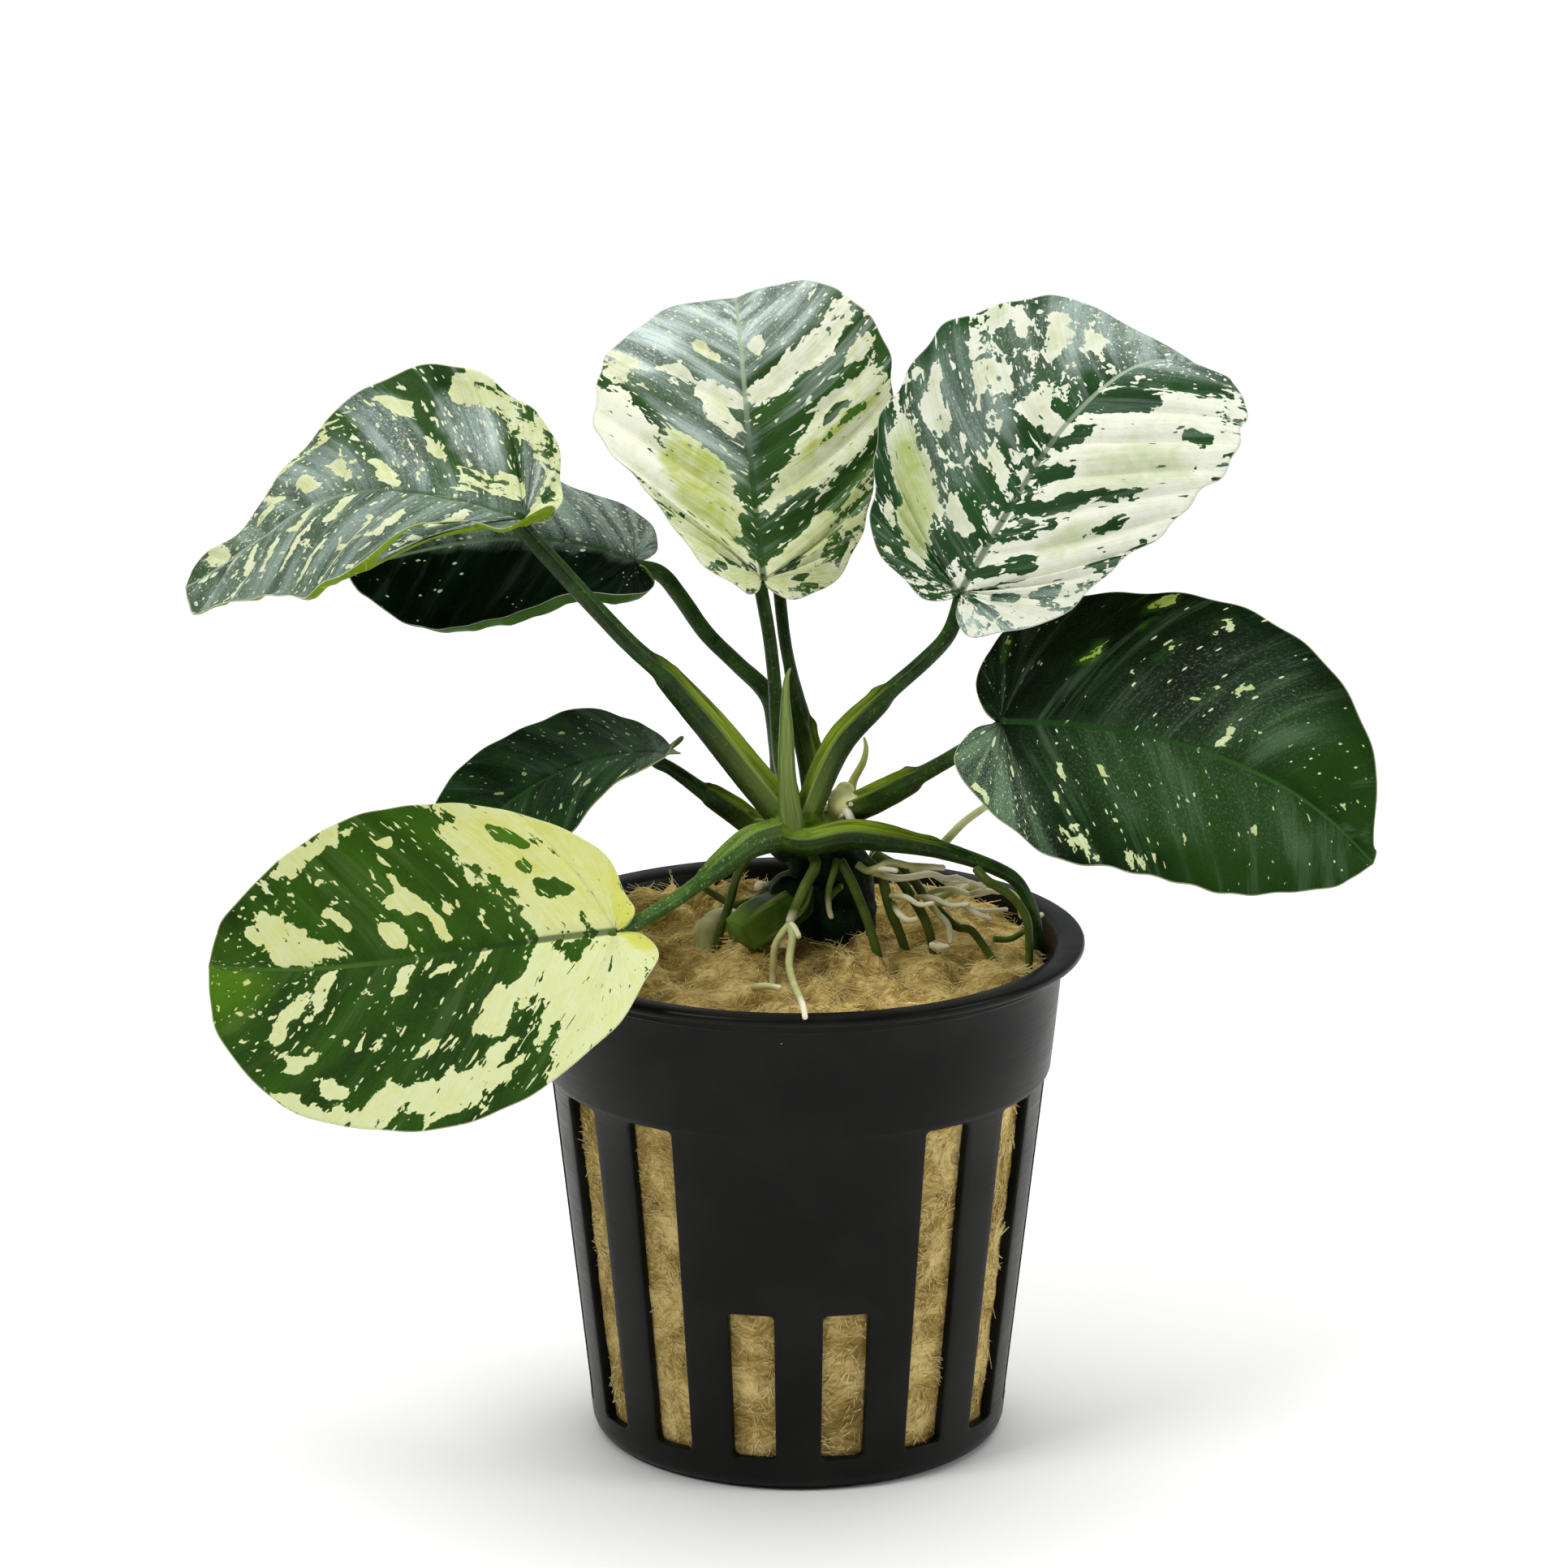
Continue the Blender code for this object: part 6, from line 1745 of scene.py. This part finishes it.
def plant_leaves() -> list[LeafBlade]:
    """List the eight blades with their poses, outlines and looks."""
    marbled, dark = "blade_variegated", "blade_dark"
    plain = Half(2.0, 4.0, (8.0, 10.0, 9.5, 7.5, 4.0), 8, -10, 0)
    return [
        LeafBlade("arched", marbled, (-25.8, -4.0, 91.6), 173, 20, -1, -21, 36.5, (-17, -40, 3), -7,
                  Half(2.6, 4.5, (5.5, 15.0, 15.0, 9.0, 6.0), -7, -15, 84, lip_from=0.87, cup=105),
                  Half(2.5, 9.3, (17.2, 15.9, 9.0, 3.4, 2.3), 10, 28, 3),
                  BladeFinish("arched", "#11290b", "#2e501a", "#b4c6be", "#dde2bd", "#b4bf4e", "#3f6d1c",
                              "#3c5634", "#a9b8a4", under="#7a961c", under_cream="#a3b53c", flecks=0.16,
                              vein_highlight_strength=0.3, grain_along=True),
                  (-1.0, 0.0, 0.1), quilt=0.8, quilt_folds=13, ripple=0.5, frill=0.016, ripple_waves=6.0),
        LeafBlade("back_dark", dark, (-15.7, 9.0, 84.6), 183, 24, -21, -33, 28.5, (-21, -14, -7), -1,
                  Half(2.2, 8.5, (11.0, 13.0, 13.0, 10.0, 4.2), 1.5, 7.5, 98, lip_from=0.80),
                  Half(2.2, 10.5, (10.0, 11.5, 11.5, 8.0, 3.5), -3.5, -11, -4),
                  BladeFinish("back_dark", "#031003", "#08200a", "#9db3a8", "#e8ead8", "#8aa040", "#2c4a0c",
                              "#3c5a34", under="#3f6420", flecks=0.07, chips=0.0, roughness=0.32, gloss=0.015,
                              vein_highlight_strength=0.05, sheen_glints=0.6, fleck_cells=(72.0, 24.0)),
                  (-1.6, 0.0, 0.0)),
        LeafBlade("top", marbled, (-3.3, 3.0, 84.1), 101, 53, 16, -33, 34.5, (1, -13, -33), -8,
                  Half(2.0, 4.2, (10.3, 14.5, 14.5, 11.5, 6.5), 15.5, -22.5, 3),
                  Half(2.1, 5.2, (11.0, 13.0, 14.5, 12.0, 7.0), 7.5, -7, 1),
                  BladeFinish("top", "#0d2a0a", "#274d18", "#d0e0da", "#eaecd6", "#aebb50", "#4a7420",
                              "#264a18", "#a4b89c", flecks=0.08, vein_highlight_strength=0.3),
                  (-1.3, 0.0, 0.1), quilt=0.7, frill=0.014),
        LeafBlade("behind_top", dark, (-2.0, 8.0, 84.6), 96, 58, 0, 0, 22.0, (0, -12, -22), 0, plain, plain,
                  BladeFinish("behind_top", "#12301a", "#214a20", "#7c9088", "#dfe3bd", "#a3b14a", "#3c6a20",
                              "#2c5a24"),
                  (-1.1, 0.1, 0.0)),
        LeafBlade("bright", marbled, (15.3, -2.0, 84.0), 44, 48, 24, -8, 42.5, (-4, -26, -46), 6,
                  Half(2.2, 5.5, (14.0, 16.0, 15.0, 10.5, 2.8), 4.5, 7.5, 9),
                  Half(3.8, 6.2, (12.6, 15.4, 15.6, 12.4, 5.0), 7, -18, 1),
                  BladeFinish("bright", "#0b2a10", "#1e4a1f", "#aec1b7", "#eaecdc", "#a9b768", "#3f6a24",
                              "#2c4a2a", "#b4c2a6", flecks=0.1, edge_noise=1.5, streaks=0.2, vein_highlight_strength=0.25),
                  (-1.3, 0.0, 0.1), quilt=0.7, quilt_folds=15, frill=0.02),
        LeafBlade("right_dark", dark, (19.0, -10.0, 73.5), -6, 2, 35, 22, 39.0, (-12, -17, -25), 3,
                  Half(2.6, 9.5, (16.0, 16.8, 15.4, 10.0, 2.1), 0, -5.5, 1.5),
                  Half(4.2, 9.3, (15.6, 14.7, 13.7, 10.8, 5.6), 5, -10.5, -1),
                  BladeFinish("right_dark", "#030c02", "#0d240a", "#6b8a66", "#d3dcb0", "#9ab038", "#2a5210",
                              "#1f4018", "#355c26", flecks=0.02, chips=0.5, roughness=0.28, gloss=0.08,
                              vein_highlight_strength=0.26, bands=24.0, sheen_glints=0.26),
                  (-1.5, 0.0, 0.0), quilt=0.26),
        LeafBlade("left_small", dark, (-13.6, 0.0, 67.8), 178, 2, 5, -46, 25.8, (-25, -19, -11), 3,
                  Half(2.6, 4.4, (11.2, 12.4, 10.2, 7.3, 3.1), 8, -22, 0, cup=85),
                  Half(2.3, 4.6, (11.7, 10.5, 9.3, 7.2, 3.0), -2, 12, 2.5),
                  BladeFinish("left_small", "#0b2408", "#214712", "#66816a", "#ccd6a8", "#8fa648", "#2a5218",
                              "#2a5220", "#3f6a30", flecks=0.05, chips=0.0, roughness=0.3, gloss=0.03,
                              vein_highlight_strength=0.35, bands=24.0),
                  (-1.5, 0.05, 0.0), quilt=0.2),
        LeafBlade("front", marbled, (-17.1, -21.0, 56.2), 180, -6, -43, -32, 39.0, (-5, 3, 10), -13,
                  Half(3.9, 6.5, (15.2, 16.9, 16.0, 13.0, 7.0), 4.5, -5, 1),
                  Half(2.0, 4.0, (12.5, 14.3, 13.9, 10.7, 5.5), 6.5, 4, 2.5),
                  BladeFinish("front", "#0f2804", "#29500a", "#7c9a58", "#e0e7b2", "#d4d660", "#4f7c12",
                              "#1f3d10", "#4c6e2a", flecks=0.05, vein_highlight_strength=0.16, gloss=0.12),
                  (-0.9, 0.0, 0.1), quilt=0.2, quilt_folds=9, frill=0.004),
    ]


GREEN_STALK = StemFinish("green", "#2e4a18", "#14270a", "#9cb42c", "#8ca446", "#28461a", edge_line=0.35,
                         foot=0.6, painted_back_shade=0.85)
DARK_STALK = StemFinish("dark", "#334f1c", "#1a2f0e", "#5f8a2a", "#7c9a50", "#24441c", painted_back_shade=0.6)
PALE_STALK = StemFinish("mottled", "#4a6c2a", "#284817", "#8aa63c", "#b2c684", "#88a860", speckle=0.6,
                        edge_line=0.35, foot=0.2, painted_back_shade=0.7)
BENT_STALK = StemFinish("bent", "#2a4a12", "#122808", "#98b22a", "#7f9c44", "#44721e", edge_line=0.25, foot=0.1,
                        painted_back_shade=0.8)
YOUNG_LEAF = StemFinish("young", "#55702a", "#3e561c", "#8a9c56", "#67822a", "#939f5c", speckle=0.1, foot=0.8,
                        painted_back_shade=0.7, stripe_mm=0.5)
SCALE = StemFinish("scale", "#c4c878", "#a6b058", "#d6d894", "#dcdc94", "#a9b266", speckle=0.1)
STUB = StemFinish("stub", "#3f5a17", "#22380b", "#9fa95a", "#2a4a12", "#55701f", tip_from=0.75, speckle=0.1)
ROOT = StemFinish("root", "#62722a", "#414f18", "#8a9c4a", "#34461a", "#e6dfba", tip_from=0.8, speckle=0.2)
PALE_ROOT = StemFinish("pale_root", "#cdcb96", "#a9ab6c", "#e0dcb4", "#84964a", "#eee8cc", tip_from=0.8,
                       speckle=0.1)

# Each leaf stalk between its foot in the crown and its blade: the leaf's name, route, radii, the way that its
# channel faces, the point of the route at its ear, finish, and how far the wings stand out
STALKS: tuple[tuple[Any, ...], ...] = (
    ("arched", ((-1.6, -1.5, 62.0), (-5.2, -1.9, 66.6), (-8.5, -2.5, 71.0), (-12.2, -3.4, 75.6),
                (-13.3, -3.6, 76.9), (-17.0, -4.0, 80.5)),
     (1.7, 1.65, 1.55, 1.25, 0.95, 0.85, 0.85), (0.85, -0.55, 0.65), 4, GREEN_STALK, 0.22),
    ("back_dark", ((-1.7, 4.0, 62.3), (-2.0, 4.2, 68.4), (-2.9, 5.0, 72.1), (-5.9, 6.2, 74.9),
                   (-8.9, 7.6, 77.6), (-11.4, 8.6, 81.0), (-13.4, 9.2, 83.2)),
     (0.9, 1.0, 0.9, 0.8, 0.8, 0.8, 0.8, 0.7), (0.6, -0.6, 0.5), 1, DARK_STALK, 0.15),
    ("top", ((-0.4, 1.2, 62.2), (-1.4, 1.0, 66.0), (-2.0, 1.5, 70.5), (-2.3, 2.0, 74.4), (-2.8, 2.4, 78.7)),
     (0.85, 0.95, 0.75, 0.65, 0.65, 0.65), (0.6, -1.0, 0.0), 1, GREEN_STALK, 0.12),
    ("behind_top", ((1.3, 3.7, 62.6), (1.05, 4.3, 65.8), (0.25, 5.0, 69.3), (-0.7, 6.0, 74.0),
                    (-1.4, 6.6, 77.9)),
     (1.1, 1.25, 1.1, 0.65, 0.6, 0.6), (1.0, -0.7, 0.0), 2, GREEN_STALK, 0.24),
    ("bright", ((1.0, -1.8, 62.3), (2.7, -1.7, 66.6), (4.5, -1.6, 69.8), (7.6, -1.9, 73.1), (8.9, -2.0, 74.5),
                (12.2, -2.0, 77.5), (14.3, -2.0, 80.0)),
     (1.3, 1.35, 1.35, 1.15, 0.85, 0.78, 0.75, 0.75), (-0.85, -0.55, 0.65), 4, GREEN_STALK, 0.22),
    ("right_dark", ((4.1, 0.7, 61.4), (6.9, -2.4, 63.5), (10.4, -5.4, 66.2), (11.6, -6.2, 67.2),
                    (14.4, -8.2, 69.4)),
     (1.3, 1.4, 1.25, 0.85, 0.75, 0.75), (-0.5, -0.35, 1.0), 3, GREEN_STALK, 0.22),
    ("left_small", ((-4.4, 0.6, 60.4), (-6.2, 0.3, 61.8), (-8.3, 0.1, 63.3), (-9.2, 0.1, 63.9),
                    (-12.0, 0.0, 66.0)),
     (1.25, 1.25, 1.1, 0.8, 0.65, 0.65), (0.4, -0.4, 1.0), 3, GREEN_STALK, 0.22),
    ("front", ((-2.5, -3.9, 60.4), (-4.8, -6.4, 60.3), (-7.6, -10.2, 59.1), (-8.8, -11.8, 58.6),
               (-11.9, -16.0, 57.5)),
     (1.5, 1.45, 1.15, 0.8, 0.72, 0.72), (-0.3, -0.3, 1.0), 3, PALE_STALK, 0.22),
)


def ear_share(route: tuple[Point, ...], index: int) -> float:
    """The share of a route's length at one of its points."""
    steps = np.linalg.norm(np.diff(np.array(route), axis=0), axis=1)
    return float(steps[:index].sum() / steps.sum())


def plant_stalks(leaves: list[LeafBlade]) -> list[SheathedStalk]:
    """Run the leaf stalks, each from the crown to the underside of its blade.

    Args:
        leaves: the blades that they carry.

    Returns:
        The stalks.
    """
    blades = {blade.name: blade for blade in leaves}
    stalks = []
    for name, route, radii, opening, ear, finish, wing in STALKS:
        along, _, _, normals = blades[name].midrib()
        normal = read_rows(0.0, along, normals)
        joint = np.array(blades[name].junction)
        foot = np.array(route[0]) + 0.45 * (np.array(CROWN) - np.array(route[0]))
        full = (tuple(foot), *route, tuple(joint - 0.9 * normal), tuple(joint - 0.35 * normal))
        sizes = (radii[0], *radii[:-1], radii[-1], radii[-1] * 0.8)
        stalks.append(SheathedStalk(f"stalk_{name}", full, sizes, finish, opening=opening, wing=wing,
                                    ear=ear_share(full, ear + 1)))
    return stalks


def stalk_bases(stems: list[Stem], reach: float = 3.6, pitch: float = 0.45) -> list[Ball]:
    """Set balls along the first part of each stalk, which the crown's skin melts together.

    Args:
        stems: the stalks that leave the crown.
        reach: how far up each stalk the skin goes, in mm.
        pitch: how far apart the balls are, in mm.

    Returns:
        Middle and radius of each ball.
    """
    gone = np.arange(0.0, reach, pitch)
    balls = []
    for stem in stems:
        length = np.linalg.norm(np.diff(np.array(stem.route), axis=0), axis=1).sum()
        for (*place, r), up in zip(smooth_curve(stem.balls(), gone / length).tolist(), gone / reach):
            balls.append((*place, r * (1.12 - 0.30 * up)))
    return balls


def plant_stems() -> dict[str, Stem]:
    """List the young leaf, the bent stalk, the dry scale and the cut stub, by the nodes they stand for."""
    bent = ((-1.6, -3.4, 60.1), (0.8, -4.1, 59.9), (4.8, -4.2, 60.7), (7.8, -4.1, 60.4), (10.8, -4.0, 59.8),
            (13.7, -3.5, 59.0), (16.7, -3.0, 57.9), (19.1, -2.5, 56.8), (20.9, -2.0, 55.5), (22.2, -1.5, 53.1),
            (22.9, -1.0, 50.8), (23.0, -0.6, 48.4))
    return {
        "young_leaf": RolledLeaf("young_leaf", (
            (-0.4, -2.6, 59.8), (-0.6, -3.4, 61.5), (-1.1, -3.2, 66.0), (-1.2, -3.1, 71.0), (-1.25, -3.1, 74.3),
            (-1.1, -3.15, 76.0), (-0.75, -3.2, 76.9)),
            (1.2, 1.12, 0.88, 0.64, 0.38, 0.22, 0.1), YOUNG_LEAF, round_tip=True),
        "bent_stalk": SheathedStalk("bent_stalk", bent, (
            1.35, 1.35, 1.45, 1.4, 1.1, 0.9, 0.75, 0.7, 0.65, 0.6, 0.55, 0.5), BENT_STALK,
            opening=(0.0, -0.55, 1.0), ear=ear_share(bent, 5), wing=0.14, groove=0.14, rings=150),
        "scale_leaf": Stem("scale_leaf", (
            (4.2, 2.6, 61.6), (4.9, 3.3, 62.6), (5.3, 3.2, 64.1), (6.2, 3.0, 65.9), (6.5, 3.0, 67.3),
             (6.3, 3.0, 68.5)),
            (0.9, 0.6, 0.42, 0.35, 0.25, 0.1), SCALE, slot="root_cream", round_tip=True),
        "rhizome_stub": CutStub("cut_stub", (
            (0.4, -1.6, 54.6), (-0.6, -3.0, 53.6), (-3.4, -5.2, 52.4), (-5.6, -6.7, 51.2)),
            (1.6, 2.0, 2.4, 2.1), STUB, slot="rhizome_dark", rings=60, columns=60),
    }


@dataclass
class Studio:
    """A pale floor, soft light from above and the photograph's camera."""

    camera_place: Point = (-1.38, -612.4, 231.4)
    camera_tilt: float = 74.764
    lens: float = 152.24
    floor_size: float = 6000.0
    aim: Point = (0, 0, 55)
    front_glow: float = 0.1
    back_glow: float = 0.4

    def floor(self) -> None:
        """Lay a matt pale floor under the pot."""
        half = self.floor_size / 2
        corners = [(-half, -half, 0.0), (half, -half, 0.0), (half, half, 0.0), (-half, half, 0.0)]
        material, _ = start_material("pale_floor")
        mesh_object("floor", corners, [(0, 1, 2, 3)],
                             (close_material(material, "#fcfcfa", 0.6, ior=1.5, specular=0.5),))

    def light(self, name: str, place: Point, size: float, watts: float, shines: bool = True) -> None:
        """Hang a square soft light, aimed at the plant's middle.

        Args:
            name: the lamp's name.
            place: where it hangs, in mm.
            size: its side in mm.
            watts: its power.
            shines: whether glossy surfaces mirror it.
        """
        lamp = bpy.data.lights.new(name, "AREA")
        lamp.size = size * MM
        lamp.energy = watts
        hung = place_object(name, lamp)
        hung.location = Vector(place) * MM
        hung.rotation_euler = (Vector(self.aim) * MM - hung.location).to_track_quat("-Z", "Y").to_euler()
        hung.visible_glossy = shines

    def surroundings(self) -> bpy.types.World:
        """Make a white room that is bright behind the plant and dim behind the camera.

        Returns:
            The world.
        """
        world = bpy.data.worlds.new("white_room")
        world.use_nodes = True
        node = partial(add_node, world.node_tree)
        depth = node("SeparateXYZ", {0: node("TexCoord", out="Object")}, 1)
        glow = node("MapRange", {0: depth, 1: -0.5, 2: 0.8, 3: self.front_glow, 4: self.back_glow})
        feed(world.node_tree.nodes["Background"], {"Color": "#fafcff", "Strength": glow})
        return world

    def build(self) -> None:
        """Set the floor, the lights, the white surroundings and the camera."""
        scene = bpy.context.scene
        scene.view_settings.view_transform = "Standard"
        self.floor()
        self.light("overhead_panel", (0, 620, 2200), 3200, 70.0, shines=False)
        self.light("key_softbox", (-420, -330, 620), 260, 2.4)
        self.light("side_softbox", (560, -160, 330), 200, 1.0)
        scene.world = self.surroundings()
        camera = bpy.data.cameras.new("photo_view")
        camera.lens = self.lens
        scene.camera = place_object("photo_view", camera)
        scene.camera.location = Vector(self.camera_place) * MM
        scene.camera.rotation_euler = (math.radians(self.camera_tilt), 0.0, 0.0)


def main() -> None:
    """Build the studio, the pot, the wool and the plant."""
    logging.basicConfig(level=logging.INFO, format="%(message)s")
    noise.seed_set(NOISE_SEED)
    Studio().build()
    pot = NetPot()
    pot.build()
    wool = MineralWool(pot)
    wool.block()
    wool.fibres()
    leaves = plant_leaves()
    for blade in leaves:
        hand_over(blade.build(), blade.slot, f"leaf_{blade.name}")
    stalks = plant_stalks(leaves)
    for stalk in stalks:
        hand_over(stalk.build(), stalk.slot, stalk.name)
    stems = plant_stems()
    for node, stem in stems.items():
        hand_over(stem.build(), stem.slot, node)
    Rhizome(stalk_bases([*stalks, stems["young_leaf"], stems["bent_stalk"]])).build()
    Roots(wool, {"root_green": ROOT, "root_cream": PALE_ROOT}).build()


if __name__ == "__main__":
    main()
